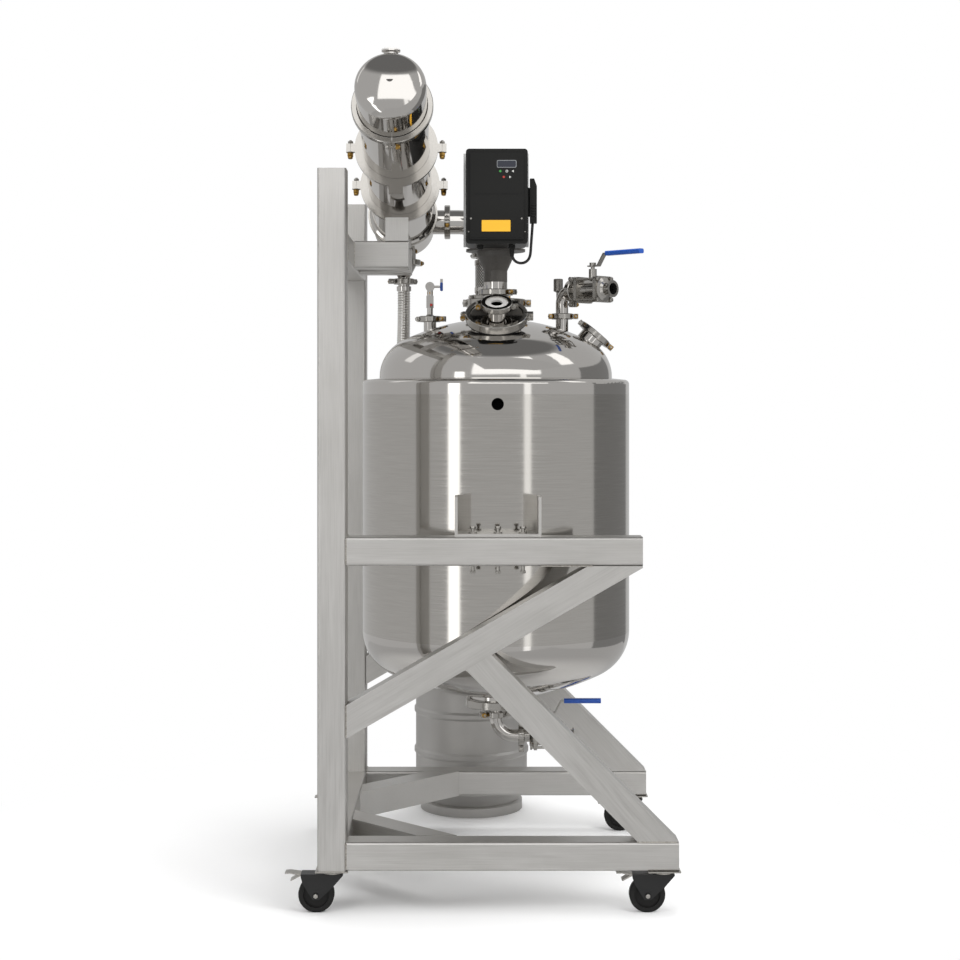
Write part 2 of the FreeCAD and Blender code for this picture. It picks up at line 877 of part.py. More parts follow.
def clamp_ring(label, face, wall=None, half=None):
    """Two-piece clamp about a joint at its origin, hinged on one side and split at the other."""
    wall = wall or S.clamp_wall
    half = half or S.clamp_half
    outer = face + wall
    body = new_body(label)
    lip = face - S.clamp_lip
    inside = face + S.clamp_play
    groove = S.face_edge + S.clamp_play
    section = draw(body, "XZ_Plane", [
        (lip, half), (lip, groove + S.face_taper), (inside, groove), (inside, -groove),
        (lip, -groove - S.face_taper), (lip, -half),
        (outer - 2, -half), (outer, -half + 2), (outer, half - 2), (outer - 2, half),
    ])
    feature(body, "Revolution", section, ReferenceAxis=(section, ["V_Axis"]), Angle=360)
    ear = S.ear_wide / 2
    start = outer - 2
    end = outer + S.ear_long
    for side in (1, -1):
        far = end if side > 0 else outer + S.ear_long * 0.5
        lugs = draw(body, "XY_Plane", [
            (start * side, -ear), (far * side, -ear), (far * side, ear), (start * side, ear),
        ])
        pad(body, lugs, (half - 1) * 2, both=True)
    slot = S.ear_slot / 2
    split = draw(body, "XY_Plane", [(lip - 5, -slot), (end + 5, -slot), (end + 5, slot), (lip - 5, slot)])
    pocket(body, split, half * 2 + 2, both=True)
    return body


clamps = []


def clamp_at(face, x, y, z, up=(0, 0, 1), ahead=(1, 0, 0)):
    half = S.wide_clamp_half if face is S.face60 else S.clamp_half
    clamps.append(put(clamp_ring("clamp", face, half=half), x, y, z, up=up, ahead=ahead))


# Lid with its ports

lid_core = dome("lid_core", S.vessel_radius, lid_foot)
lid_blank = dished("lid_blank", S.vessel_radius, S.lid_wall, lid_foot, S.tube60 - S.pipe_wall,
                   straight=S.lid_straight)

ports = []
bores = []


def lean(angle, turn=0):
    """Direction that leans from upright by an angle, towards a turn about the vessel's axis."""
    a = math.radians(formula(angle).value)
    b = math.radians(formula(turn).value)
    return (math.sin(a) * math.cos(b), math.sin(a) * math.sin(b), math.cos(a))


def lid_height(out):
    """Height of the lid's outer face at a distance from its axis."""
    crown = S.vessel_radius * S.head_crown_share
    knuckle = S.vessel_radius * S.head_knuckle_share
    side = S.vessel_radius - knuckle
    drop = root((crown - knuckle) * (crown - knuckle) - side * side)
    limit = side.value * crown.value / (crown.value - knuckle.value)
    if formula(out).value < limit:
        return lid_foot - drop + root(crown * crown - out * out)
    return lid_foot + root(knuckle * knuckle - (out - side) * (out - side))


def lid_port(radius, face, foot, x, y, z, up=(0, 0, 1), ahead=(1, 0, 0)):
    """A stub whose joint face is at a point and whose foot is cut to the lid, with its bore and clamp."""
    stub = put(ferrule("stub", radius, face, foot), x, y, z, up=up)
    ports.append(cut("port", stub, lid_core))
    inside = radius - S.pipe_wall
    bore = turned("bore", [(0, -foot), (inside, -foot), (inside, 0), (0, 0)])
    bores.append(put(bore, x, y, z, up=up))
    clamp_at(face, x, y, z, up=up, ahead=ahead)


lid_port(S.tube60, S.face60, S.centre_joint - lid_foot, 0, 0, S.centre_joint, ahead=(1, 0, 0))

front_up = lean(S.front_lean, formula(-90))
front_y = -S.front_out
front_z = lid_height(S.front_out)


def along(base, direction, distance):
    """The point a distance along a direction from a base point."""
    return tuple(formula(b) + d * formula(distance) for b, d in zip(base, direction))


front_base = (formula(0), front_y, front_z)
lid_port(S.tube60, S.face60, S.front_joint + S.tube60, *along(front_base, front_up, S.front_joint),
         up=front_up)

lid_port(S.tube15, S.face15, S.side_joint - lid_foot, S.side_port_x, S.side_port_y, S.side_joint)
lid_port(S.tube15, S.face15, S.left_joint - lid_foot, S.left_port_x, S.side_port_y, S.left_joint,
         ahead=(1, -0.3, 0))
lid_port(S.tube30, S.face30, S.vapour_joint - lid_foot, S.riser_x, S.vapour_y, S.vapour_joint)

right_up = lean(S.right_lean)
right_base = (S.right_out, formula(0), lid_height(S.right_out))
lid_port(S.tube30, S.face30, S.right_joint + S.tube30, *along(right_base, right_up, S.right_joint),
         up=right_up, ahead=(1, 0, -1))

node(cut("vessel_lid", lid_blank, fused("bores", bores)))
node(together("lid_ports", ports))

# A blank cap closes the right-hand port.


def blank_cap(label, face):
    return turned(label, [(0, 0), (face, 0), (face, S.face_edge), (face - 6, S.face_edge + S.face_taper),
                          (0, S.face_edge + S.face_taper)])


right_cap = put(blank_cap("right_cap", S.face30), *along(right_base, right_up, S.right_joint), up=right_up)

# Centre: a reducing spool from the wide ferrule to the neck that carries the drive.
neck_face = S.face30
centre_spool = put(turned("centre_spool", [
    (S.neck_radius - S.pipe_wall, 0), (S.face60, 0), (S.face60, S.face_edge),
    (S.face60 - 8, S.face_edge + S.face_taper), (S.neck_radius, S.face_edge + S.face_taper),
    (S.neck_radius, S.neck_joint - S.centre_joint - S.face_edge - S.face_taper),
    (neck_face, S.neck_joint - S.centre_joint - S.face_edge), (neck_face, S.neck_joint - S.centre_joint),
    (S.neck_radius - S.pipe_wall, S.neck_joint - S.centre_joint),
]), 0, 0, S.centre_joint)
clamp_at(neck_face, 0, 0, S.neck_joint, ahead=(1, -0.6, 0))
neck_tall = S.neck_top - S.neck_joint
centre_neck = put(turned("centre_neck", [
    (S.neck_radius - S.pipe_wall, 0), (neck_face, 0), (neck_face, S.face_edge),
    (S.neck_radius, S.face_edge + S.face_taper), (S.neck_radius, neck_tall),
    (S.neck_radius - S.pipe_wall, neck_tall),
]), 0, 0, S.neck_joint)

# Front: a spool that steps down to a ferrule closed by a disc with a small bore.
cap_lift = S.front_cap_joint - S.front_joint
step_r = S.tube20
front_spool = put(turned("front_spool", [
    (step_r - S.pipe_wall, 0), (S.face60, 0), (S.face60, S.face_edge),
    (S.face60 - 8, S.face_edge + S.face_taper), (step_r, S.face_edge + S.face_taper),
    (step_r, cap_lift - 14), (S.tube25, cap_lift - S.face_edge - S.face_taper),
    (S.face25, cap_lift - S.face_edge),
    (S.face25, cap_lift), (step_r - S.pipe_wall, cap_lift),
]), *along(front_base, front_up, S.front_joint), up=front_up)
node(together("lid_spools", [centre_spool, centre_neck, front_spool]))
front_cap_at = along(front_base, front_up, S.front_cap_joint)
front_cap = put(turned("front_cap", [
    (S.valve_bore, 0), (S.face25, 0), (S.face25, S.face_edge), (S.face25 - 6, S.face_edge + S.face_taper),
    (S.valve_bore, S.face_edge + S.face_taper),
]), *front_cap_at, up=front_up)
clamp_at(S.face25, *front_cap_at, up=front_up, ahead=(1, 0, 0))

# Instrument behind the side port: slim stem with a wide head.
gauge_out = root(S.gauge_x * S.gauge_x + S.gauge_y * S.gauge_y)
gauge_foot = lid_height(gauge_out)
gauge_neck = S.gauge_neck_top - gauge_foot
gauge_tall = S.gauge_top - gauge_foot
gauge = put(turned("gauge_blank", [
    (0, -2 * S.gauge_head), (S.gauge_head, -2 * S.gauge_head), (S.gauge_head, S.gauge_stem),
    (S.gauge_stem, S.gauge_head), (S.gauge_stem, gauge_neck - 4), (S.gauge_head, gauge_neck),
    (S.gauge_head, gauge_tall - 2), (S.gauge_head - 2, gauge_tall), (0, gauge_tall),
]), S.gauge_x, S.gauge_y, gauge_foot)
node(cut("lid_instrument", gauge, lid_core))

# Sampling fitting on the left: ferrule, hexagon body, cross with an open end and a small tee handle.
sample_neck = S.sample_ball_radius - 5
sample = put(turned("sample_body", [
    (0, 0), (S.face15, 0), (S.face15, S.face_edge), (S.sample_ball_radius, S.face_edge + 6),
    (sample_neck, 14),
    (sample_neck, S.sample_hex_foot + 1), (sample_neck, S.sample_hex_top - 1), (sample_neck, S.sample_rise),
    (0, S.sample_rise),
]), S.left_port_x, S.side_port_y, S.left_joint)
hexagon = new_body("sample_hexagon")
hex_half = S.sample_hex_across / 2
hex_out = hex_half / cosine(Formula("30", 30))
hex_outline = draw(hexagon, "XY_Plane", [
    (-hex_half, -hex_out / 2), (0, -hex_out), (hex_half, -hex_out / 2), (hex_half, hex_out / 2),
    (0, hex_out),
    (-hex_half, hex_out / 2),
], height=S.sample_hex_foot)
pad(hexagon, hex_outline, S.sample_hex_top - S.sample_hex_foot)
put(hexagon, S.left_port_x, S.side_port_y, S.left_joint)
sample_z = S.left_joint + S.sample_rise
ball_r = S.sample_ball_radius
sample_ball = put(turned("sample_ball", [
    (0, -ball_r), (ball_r - 3, -ball_r), (ball_r, -ball_r + 4), (ball_r, ball_r), (0, ball_r),
]), S.left_port_x, S.side_port_y, sample_z, up=(0, -1, 0))
sample_end = put(rod(S.sample_bore, 2 * ball_r), S.left_port_x, S.side_port_y - ball_r / 4, sample_z,
                 up=(0, -1, 0))
sample_stem = put(rod(S.sample_stem, S.sample_reach), S.left_port_x, S.side_port_y, sample_z, up=(1, 0, 0))
sample_tee = put(block(0, S.sample_tee_thick, -6, 6, -S.sample_tee_half, S.sample_tee_half),
                 S.left_port_x + S.sample_reach, S.side_port_y, sample_z)
sample_pieces = [sample, hexagon, sample_ball, sample_stem, sample_tee]
node(cut("sample_valve", fused("sample_blank", sample_pieces), sample_end))

# Stirrer drive

adapter_tall = S.adapter_top - S.neck_top
node(put(turned("motor_adapter", [
    (0, 0), (S.neck_radius, 0), (S.neck_radius, S.adapter_foot - S.neck_top),
    (S.adapter_waist, adapter_tall - 15), (S.adapter_radius, adapter_tall), (0, adapter_tall),
]), 0, 0, S.neck_top))

motor_tall = S.motor_top - S.adapter_top
flange = S.motor_flange_thick
motor_round = put(turned("motor_round", [
    (0, 0), (S.motor_flange, 0), (S.motor_flange, flange), (S.motor_radius + 5, flange),
    (S.motor_radius + 5, flange + 10), (S.motor_radius - 6, flange + 14),
    (S.motor_radius - 6, motor_tall - 60),
    (S.motor_radius, motor_tall - 56), (S.motor_radius, motor_tall - 8), (S.motor_radius - 8, motor_tall),
    (0, motor_tall),
]), 0, 0, S.adapter_top)
sink_back = S.box_back + S.sink_thick
motor_pad = block(-34, 34, sink_back, -S.motor_radius * 0.5, S.adapter_top + 78, S.adapter_top + 178)
node(fused("motor", [motor_round, motor_pad]))

sink = new_body("drive_heat_sink")
sink_outline = draw(sink, "XZ_Plane", [
    (-S.sink_half, S.sink_bottom), (S.sink_half, S.sink_bottom), (S.sink_half, S.sink_top),
    (-S.sink_half, S.sink_top),
])
pad(sink, sink_outline, S.sink_thick, back=True)
fin_wide = S.sink_half / 12
for index in range(11):
    left = -S.sink_half + fin_wide * (2 * index + 1.5)
    slot = draw(sink, "XZ_Plane", [
        (left, S.sink_bottom - 1), (left + fin_wide, S.sink_bottom - 1), (left + fin_wide, S.sink_top + 1),
        (left, S.sink_top + 1),
    ], height=-S.sink_thick)
    pocket(sink, slot, S.sink_thick - 8)
put(sink, 0, S.box_back, 0)
node(sink)

box = new_body("drive_box")
box_outline = draw(box, "XZ_Plane", [
    (-S.box_half, S.box_bottom), (S.box_half, S.box_bottom), (S.box_half, S.box_top),
    (-S.box_half, S.box_top),
])
pad(box, box_outline, S.box_back - S.box_front)
round_edges(box, S.box_round, lambda edge: runs_along(edge, Vector(0, 1, 0)))
panel_low = S.box_bottom + S.panel_inset
panel = draw(box, "XZ_Plane", [
    (-S.box_half + S.panel_inset, panel_low), (S.box_half - S.panel_inset, panel_low),
    (S.box_half - S.panel_inset, S.box_top - S.panel_inset),
    (-S.box_half + S.panel_inset, S.box_top - S.panel_inset),
], height=S.box_back - S.box_front)
pad(box, panel, S.panel_out)
put(box, 0, S.box_back, 0)
node(box)


def gland(x):
    made = turned("gland", [
        (0, 0), (S.gland_radius, 0), (S.gland_radius, S.gland_long - 4),
        (S.gland_radius - 3, S.gland_long), (0, S.gland_long),
    ])
    return put(made, x, gland_y, S.box_bottom, up=(0, 0, -1))


gland_y = S.box_front + S.gland_back
node(together("cable_glands", [gland(S.gland_left), gland(S.gland_right)]))

# The lead loops from the right gland to a plug held on the box's side.
plug_half = S.plug_thick / 2
plug = new_body("plug_case")
plug_outline = draw(plug, "XZ_Plane", [
    (S.plug_left, S.plug_bottom), (S.plug_right, S.plug_bottom), (S.plug_right, S.plug_top - 22),
    (S.plug_left + 12, S.plug_top), (S.plug_left, S.plug_top),
])
pad(plug, plug_outline, S.plug_thick, both=True)
put(plug, 0, gland_y, 0)
bracket = block(S.box_half + S.seat_gap, S.plug_left + 2, gland_y + 2, gland_y + plug_half - 2,
                S.plug_bottom + 20,
                S.plug_top - 25)
node(fused("lead_plug", [plug, bracket]))


def tube_path(points, share=0.45):
    """Straight runs joined by arcs as large as their two runs allow, and each arc's radius."""
    edges = []
    radii = []
    start = points[0]
    for before, corner, after in zip(points, points[1:], points[2:]):
        back = (before - corner).normalize()
        ahead = (after - corner).normalize()
        reach = share * min((before - corner).Length, (after - corner).Length)
        turn = math.pi - back.getAngle(ahead)
        radii.append(reach / math.tan(turn / 2))
        first = corner + back * reach
        last = corner + ahead * reach
        inward = (back + ahead).normalize()
        middle = corner + inward * (math.hypot(radii[-1], reach) - radii[-1])
        edges.append(Part.LineSegment(start, first).toShape())
        edges.append(Part.Arc(first, middle, last).toShape())
        start = last
    edges.append(Part.LineSegment(start, points[-1]).toShape())
    return Part.Wire(edges), radii


def cord(label, points, radius):
    """A plain round tube along a hand-laid route."""
    path, radii = tube_path([Vector(*point) for point in points])
    first = path.Edges[0]
    way = (first.Vertexes[1].Point - first.Vertexes[0].Point).normalize()
    disc = Part.Wire([Part.Circle(Vector(*points[0]), way, radius).toShape()])
    tube = path.makePipeShell([disc], True, False)
    made = doc.addObject("Part::Feature", "cord")
    made.Shape = tube
    made.Label = label
    print(label, "length", round(path.Length), "volume error",
          round(tube.Volume / (math.pi * radius**2 * path.Length) - 1, 4), "radii",
          [round(r) for r in radii])
    return made


lead_exit = (S.gland_right.value, gland_y.value, (S.box_bottom - S.gland_long).value)
lead_points = [
    lead_exit,
    (45, -190, 1841),
    (60.8, -190, 1825.2),
    (83.2, -190, 1825.2),
    (99, -190, 1841),
    (101.5, -190, 1880),
    (106, -190, S.plug_bottom.value),
]
node(cord("drive_lead", lead_points, 4))


# Ball valves

def valve_body(label):
    """Three-piece ball valve along its own Z, with a ferrule at each end and its gland towards +X."""
    long = S.valve_half
    half = [
        (S.face15, long), (S.face15, long - S.face_edge), (S.tube15, long - S.face_edge - S.face_taper),
        (S.tube15, long - 25), (26, long - 30), (S.valve_body, long - 34), (S.valve_body, long - 50),
        (S.valve_barrel, long - 50),
    ]
    other_half = [(r, -formula(z)) for r, z in reversed(half)]
    points = [(S.valve_bore, long)] + half + other_half + [(S.valve_bore, -long)]
    body = turned(label, points)
    boss = body.newObject("Sketcher::SketchObject", "sketch")
    boss.AttachmentSupport = [(plane_of(body, "YZ_Plane"), "")]
    boss.MapMode = "FlatFace"
    boss.setExpression("AttachmentOffset.Base.z", (S.valve_barrel - 8).text)
    boss.addGeometry(Part.Circle(Vector(0, 0, 0), Vector(0, 0, 1), S.gland_boss.value), False)
    boss.addConstraint(Sketcher.Constraint("Coincident", 0, 3, -1, 1))
    size = boss.addConstraint(Sketcher.Constraint("Radius", 0, S.gland_boss.value))
    boss.setExpression(f"Constraints[{size}]", S.gland_boss.text)
    pad(body, boss, S.boss_top - S.valve_barrel + 8)
    well = body.newObject("Sketcher::SketchObject", "sketch")
    well.AttachmentSupport = [(plane_of(body, "YZ_Plane"), "")]
    well.MapMode = "FlatFace"
    well.setExpression("AttachmentOffset.Base.z", S.boss_top.text)
    well_radius = S.stem_radius + S.pin_clearance
    well.addGeometry(Part.Circle(Vector(0, 0, 0), Vector(0, 0, 1), well_radius.value), False)
    well.addConstraint(Sketcher.Constraint("Coincident", 0, 3, -1, 1))
    size = well.addConstraint(Sketcher.Constraint("Radius", 0, well_radius.value))
    well.setExpression(f"Constraints[{size}]", well_radius.text)
    pocket(body, well, 20)
    return body


def valve_lever(label, start, end):
    """Stem, nut and bent plate; upright stem at the origin, the grip's end towards +X."""
    body = new_body(label)
    low = S.lever_bottom
    top = low + S.lever_thick
    stem = draw(body, "XZ_Plane", [
        (0, S.boss_top - 18), (S.stem_radius, S.boss_top - 18), (S.stem_radius, low), (10, low), (10, top),
        (10, top + 8), (0, top + 8),
    ])
    feature(body, "Revolution", stem, ReferenceAxis=(stem, ["V_Axis"]), Angle=360)
    flat = S.grip_height - S.lever_thick / 2
    plate = draw(body, "XZ_Plane", [
        (-15, low), (24, low), (start - 8, flat), (end - 8, flat),
        (end - 8, flat + S.lever_thick), (start - 10, flat + S.lever_thick), (22, top), (-15, top),
    ])
    pad(body, plate, S.lever_end_wide, both=True)
    return body


def valve_grip(label, start, end):
    """Sleeve over the lever's flat end."""
    body = new_body(label)
    thick = S.grip_thick / 2
    side = draw(body, "XZ_Plane", [
        (start, S.grip_height - thick), (end, S.grip_height - thick),
        (end, S.grip_height + thick), (start, S.grip_height + thick),
    ])
    pad(body, side, S.grip_wide, both=True)
    round_edges(body, 5, lambda edge: runs_along(edge, Vector(1, 0, 0)))
    flat = S.grip_height - S.lever_thick / 2
    slot = draw(body, "XZ_Plane", [
        (start - 1, flat), (end - 8, flat), (end - 8, flat + S.lever_thick),
        (start - 1, flat + S.lever_thick),
    ])
    pocket(body, slot, S.lever_end_wide, both=True)
    return body


turn = math.radians(S.valve_turn.value)
valve_way = (math.cos(turn), math.sin(turn), 0)
top_elbow_reach = S.top_elbow_radius + S.face_edge + S.face_taper
valve_start = along((S.side_port_x, S.side_port_y, S.valve_axis), valve_way, top_elbow_reach)
valve_mid = along(valve_start, valve_way, S.valve_half)
node(put(valve_body("top_valve_body"), *valve_mid, up=valve_way, ahead=(0, 0, 1)))
node(put(valve_lever("top_valve_lever", S.grip_start, S.grip_end), *valve_mid, ahead=valve_way))
node(put(valve_grip("top_valve_grip", S.grip_start, S.grip_end), *valve_mid, ahead=valve_way))
clamp_at(S.face15, *valve_start, up=valve_way, ahead=(0, 0, -1))


def elbow(label, rise, radius, face, bend, tail, wall=None):
    """A ferrule at the origin, a straight rise, a quarter bend towards +X and a ferrule at its end."""
    wall = wall or S.pipe_wall
    body = new_body(label)
    path = body.newObject("Sketcher::SketchObject", "path")
    path.AttachmentSupport = [(plane_of(body, "XZ_Plane"), "")]
    path.MapMode = "FlatFace"
    up, turn_r, out = formula(rise), formula(bend), formula(tail)
    path.addGeometry(Part.LineSegment(Vector(0, 0, 0), Vector(0, up.value, 0)), False)
    bow = Part.Circle(Vector(turn_r.value, up.value, 0), Vector(0, 0, 1), turn_r.value)
    path.addGeometry(Part.ArcOfCircle(bow, math.pi / 2, math.pi), False)
    path.addGeometry(Part.LineSegment(Vector(turn_r.value, (up + turn_r).value, 0),
                                      Vector((turn_r + out).value, (up + turn_r).value, 0)), False)
    path.addConstraint(Sketcher.Constraint("Coincident", 0, 2, 1, 2))
    path.addConstraint(Sketcher.Constraint("Coincident", 1, 1, 2, 1))
    path.addConstraint(Sketcher.Constraint("Coincident", 0, 1, -1, 1))
    for kind, geo, end, value in (
        ("DistanceX", 1, 3, turn_r), ("DistanceY", 1, 3, up), ("DistanceY", 0, 2, up),
        ("DistanceX", 0, 2, 0),
        ("DistanceX", 1, 1, turn_r), ("DistanceX", 2, 2, turn_r + out), ("DistanceY", 2, 2, up + turn_r),
    ):
        value = formula(value)
        place = path.addConstraint(Sketcher.Constraint(kind, -1, 1, geo, end, value.value))
        path.setExpression(f"Constraints[{place}]", value.text)
    for size, kind in ((radius, "AdditivePipe"), (radius - wall, "SubtractivePipe")):
        ring = body.newObject("Sketcher::SketchObject", "ring")
        ring.AttachmentSupport = [(plane_of(body, "XY_Plane"), "")]
        ring.MapMode = "FlatFace"
        ring.addGeometry(Part.Circle(Vector(0, 0, 0), Vector(0, 0, 1), size.value), False)
        ring.addConstraint(Sketcher.Constraint("Coincident", 0, 3, -1, 1))
        place = ring.addConstraint(Sketcher.Constraint("Radius", 0, size.value))
        ring.setExpression(f"Constraints[{place}]", size.text)
        if kind == "AdditivePipe":
            sweep = body.newObject("PartDesign::AdditivePipe", "pipe")
            sweep.Profile = ring
            sweep.Spine = path
            flange = draw(body, "XZ_Plane", [(0, 0), (face, 0), (face, S.face_edge),
                                             (radius, S.face_edge + S.face_taper),
                                             (0, S.face_edge + S.face_taper)])
            feature(body, "Revolution", flange, ReferenceAxis=(flange, ["V_Axis"]), Angle=360)
        else:
            sweep = body.newObject("PartDesign::SubtractivePipe", "pipe")
            sweep.Profile = ring
            sweep.Spine = path
    return body


def end_flange(label, radius, face, wall=None):
    wall = wall or S.pipe_wall
    return turned(label, [(radius, -S.face_edge - S.face_taper)] + half_joint(radius, face)[1:] + [
        (radius - wall, -S.face_edge - S.face_taper)])


side_rise = S.valve_axis - S.top_elbow_radius - S.side_joint
side_tail = S.face_edge + S.face_taper
side_elbow = put(elbow("side_elbow", side_rise, S.tube15, S.face15, S.top_elbow_radius, side_tail),
                 S.side_port_x, S.side_port_y, S.side_joint, ahead=valve_way)
side_flange = put(end_flange("side_flange", S.tube15, S.face15), *valve_start, up=valve_way,
                  ahead=(0, 0, 1))
top_valve_elbow = fused("top_valve_elbow", [side_elbow, side_flange])


# Condenser, leaning down to the far side

tilt = math.radians(S.condenser_tilt.value)
slope_up = (0, -math.cos(tilt), math.sin(tilt))
tilt_up = (formula(0), -cosine(S.condenser_tilt), sine(S.condenser_tilt))


def on_condenser(distance):
    """A point on the condenser's axis, measured up towards its near end from the near saddle."""
    base = (S.condenser_x, S.condenser_y, S.condenser_z)
    return tuple(b + d * formula(distance) for b, d in zip(base, tilt_up))


def tilted(piece, distance, ahead=(1, 0, 0)):
    return put(piece, *on_condenser(distance), up=slope_up, ahead=ahead)


shell_long = S.near_joint_at - S.far_joint_at
bore_r = S.condenser_radius - S.condenser_wall
bottom_joint = half_joint(S.condenser_radius, S.condenser_face, S.condenser_wall)
node(tilted(turned("condenser_shell", [
    (bore_r, 0), (S.condenser_face, 0), (S.condenser_face, S.face_edge),
    (S.condenser_radius, S.face_edge + S.face_taper),
    (S.condenser_radius, shell_long - S.face_edge - S.face_taper),
    (S.condenser_face, shell_long - S.face_edge),
    (S.condenser_face, shell_long), (bore_r, shell_long),
]), S.far_joint_at))

near_straight = S.near_spool
outer, inner, radii = head_shape(S.condenser_radius, S.condenser_wall, near_straight, 0)
near_head = tilted(turned("near_head", [
    (bore_r, 0), (S.condenser_face, 0), (S.condenser_face, S.face_edge),
    (S.condenser_radius, S.face_edge + S.face_taper),
] + outer + inner, {4: (radii[0], 1), 5: (radii[1], 1), 7: (radii[2], -1), 8: (radii[3], -1)}),
    S.near_joint_at)

# The lower head is built downwards from the far joint; the vapour comes in at its side.
low_outer, low_inner, low_radii = head_shape(S.condenser_radius, S.condenser_wall, -S.spool_long, 0, -1)
lower_blank = tilted(turned("lower_blank", [
    (S.condenser_face, 0), (S.condenser_face, -S.face_edge),
    (S.condenser_radius, -S.face_edge - S.face_taper),
] + low_outer + low_inner + [(bore_r, 0)],
    {3: (low_radii[0], -1), 4: (low_radii[1], -1), 6: (low_radii[2], 1), 7: (low_radii[3], 1)}),
    S.far_joint_at)
shell_core = tilted(rod(S.condenser_radius, 1200), -450)
slope = Formula("tan(sizes.condenser_tilt * 1 deg)", math.tan(tilt))
vapour_z = S.condenser_z - slope * (S.vapour_y - S.condenser_y)
drain_bore = put(rod(S.tube30 - S.pipe_wall, 120), S.condenser_x, S.drain_y, S.drain_joint)
vapour_bore = put(rod(S.tube30 - S.pipe_wall, 120), S.condenser_x, S.vapour_y, vapour_z, up=(1, 0, 0))
lower_head = cut("lower_head", lower_blank, fused("lower_bores", [drain_bore, vapour_bore]))
node(together("condenser_heads", [near_head, lower_head]))

drain_stub = put(ferrule("drain_stub", S.tube30, S.face30, formula(70)), S.condenser_x, S.drain_y,
                 S.drain_joint,
                 up=(0, 0, -1))
vapour_stub = put(ferrule("vapour_stub", S.tube30, S.face30, S.vapour_clamp_x - S.condenser_x),
                  S.vapour_clamp_x,
                  S.vapour_y, vapour_z, up=(1, 0, 0))
top_port_y = on_condenser(S.top_port_at)[1]
top_stub = put(ferrule("top_stub", S.tube15, S.face15, formula(90)), S.condenser_x, top_port_y,
               S.top_port_joint)
top_cap = put(blank_cap("top_cap", S.face15), S.condenser_x, top_port_y, S.top_port_joint)
node(together("port_caps", [right_cap, front_cap, top_cap]))
stubs = [("drain_port", drain_stub), ("vapour_port", vapour_stub), ("top_port", top_stub)]
node(together("condenser_ports", [cut(name, stub, shell_core) for name, stub in stubs]))

near_clamp = tilted(clamp_ring("near_clamp", S.condenser_face, wall=S.condenser_clamp_wall),
                    S.near_joint_at,
                    ahead=(0, 0, -1))
far_clamp = tilted(turned("far_band", [
    (S.condenser_face + S.clamp_play, -4), (S.condenser_face + S.condenser_band_wall, -4),
    (S.condenser_face + S.condenser_band_wall, 4), (S.condenser_face + S.clamp_play, 4),
]), S.far_joint_at)
clamps.append(near_clamp)
clamps.append(far_clamp)


def saddle(label, tab_end):
    """Flat two-part saddle ring with bolted ears left and right and a tab below."""
    body = new_body(label)
    ring = body.newObject("Sketcher::SketchObject", "sketch")
    ring.AttachmentSupport = [(plane_of(body, "XY_Plane"), "")]
    ring.MapMode = "FlatFace"
    ring.addGeometry(Part.Circle(Vector(0, 0, 0), Vector(0, 0, 1), S.saddle_radius.value), False)
    ring.addConstraint(Sketcher.Constraint("Coincident", 0, 3, -1, 1))
    place = ring.addConstraint(Sketcher.Constraint("Radius", 0, S.saddle_radius.value))
    ring.setExpression(f"Constraints[{place}]", S.saddle_radius.text)
    pad(body, ring, S.saddle_wide, both=True)
    half = S.saddle_tab / 2
    tab = draw(body, "XY_Plane", [(-half, -tab_end), (half, -tab_end), (half, 0), (-half, 0)])
    pad(body, tab, S.saddle_wide, both=True)
    ears = draw(body, "XY_Plane", [
        (-S.saddle_radius - 24, -13), (S.saddle_radius + 24, -13), (S.saddle_radius + 24, 13),
        (-S.saddle_radius - 24, 13),
    ])
    pad(body, ears, S.saddle_wide, both=True)
    hole_radius = S.condenser_radius + S.seat_gap
    hole = body.newObject("Sketcher::SketchObject", "sketch")
    hole.AttachmentSupport = [(plane_of(body, "XY_Plane"), "")]
    hole.MapMode = "FlatFace"
    hole.addGeometry(Part.Circle(Vector(0, 0, 0), Vector(0, 0, 1), hole_radius.value), False)
    hole.addConstraint(Sketcher.Constraint("Coincident", 0, 3, -1, 1))
    place = hole.addConstraint(Sketcher.Constraint("Radius", 0, hole_radius.value))
    hole.setExpression(f"Constraints[{place}]", hole_radius.text)
    pocket(body, hole, S.saddle_wide * 2, both=True)
    return body


# The near saddle's tab runs down to the arm behind the riser; the saddle above it hangs free.
arm_top = S.cross_beam_bottom + S.tube
leg_end = (S.condenser_z - arm_top) / cosine(S.condenser_tilt) + S.saddle_wide
near_saddle = tilted(saddle("near_saddle_blank", leg_end), 0)
ground = block(-600, 600, -600, 600, arm_top - 200, arm_top)
low_saddle = cut("low_saddle", near_saddle, ground)
high_saddle = tilted(saddle("high_saddle", S.saddle_tab_end), S.saddle_at)
node(together("condenser_saddles", [low_saddle, high_saddle]))

riser_mid = S.condenser_x - 6
near_riser = block(riser_mid - S.riser_wide / 2, riser_mid + S.riser_wide / 2, -S.arm_out,
                   -S.arm_out + S.riser_thick,
                   arm_top, S.riser_top)
far_riser = block(riser_mid - S.riser_wide / 2, riser_mid + S.riser_wide / 2, S.arm_out - S.tube,
                  S.arm_out - S.tube + S.riser_thick, arm_top, S.riser_top)
seat_core = tilted(rod(S.condenser_radius + S.seat_gap, 700), -300)
node(together("condenser_risers", [near_riser, cut("far_riser", far_riser, seat_core)]))

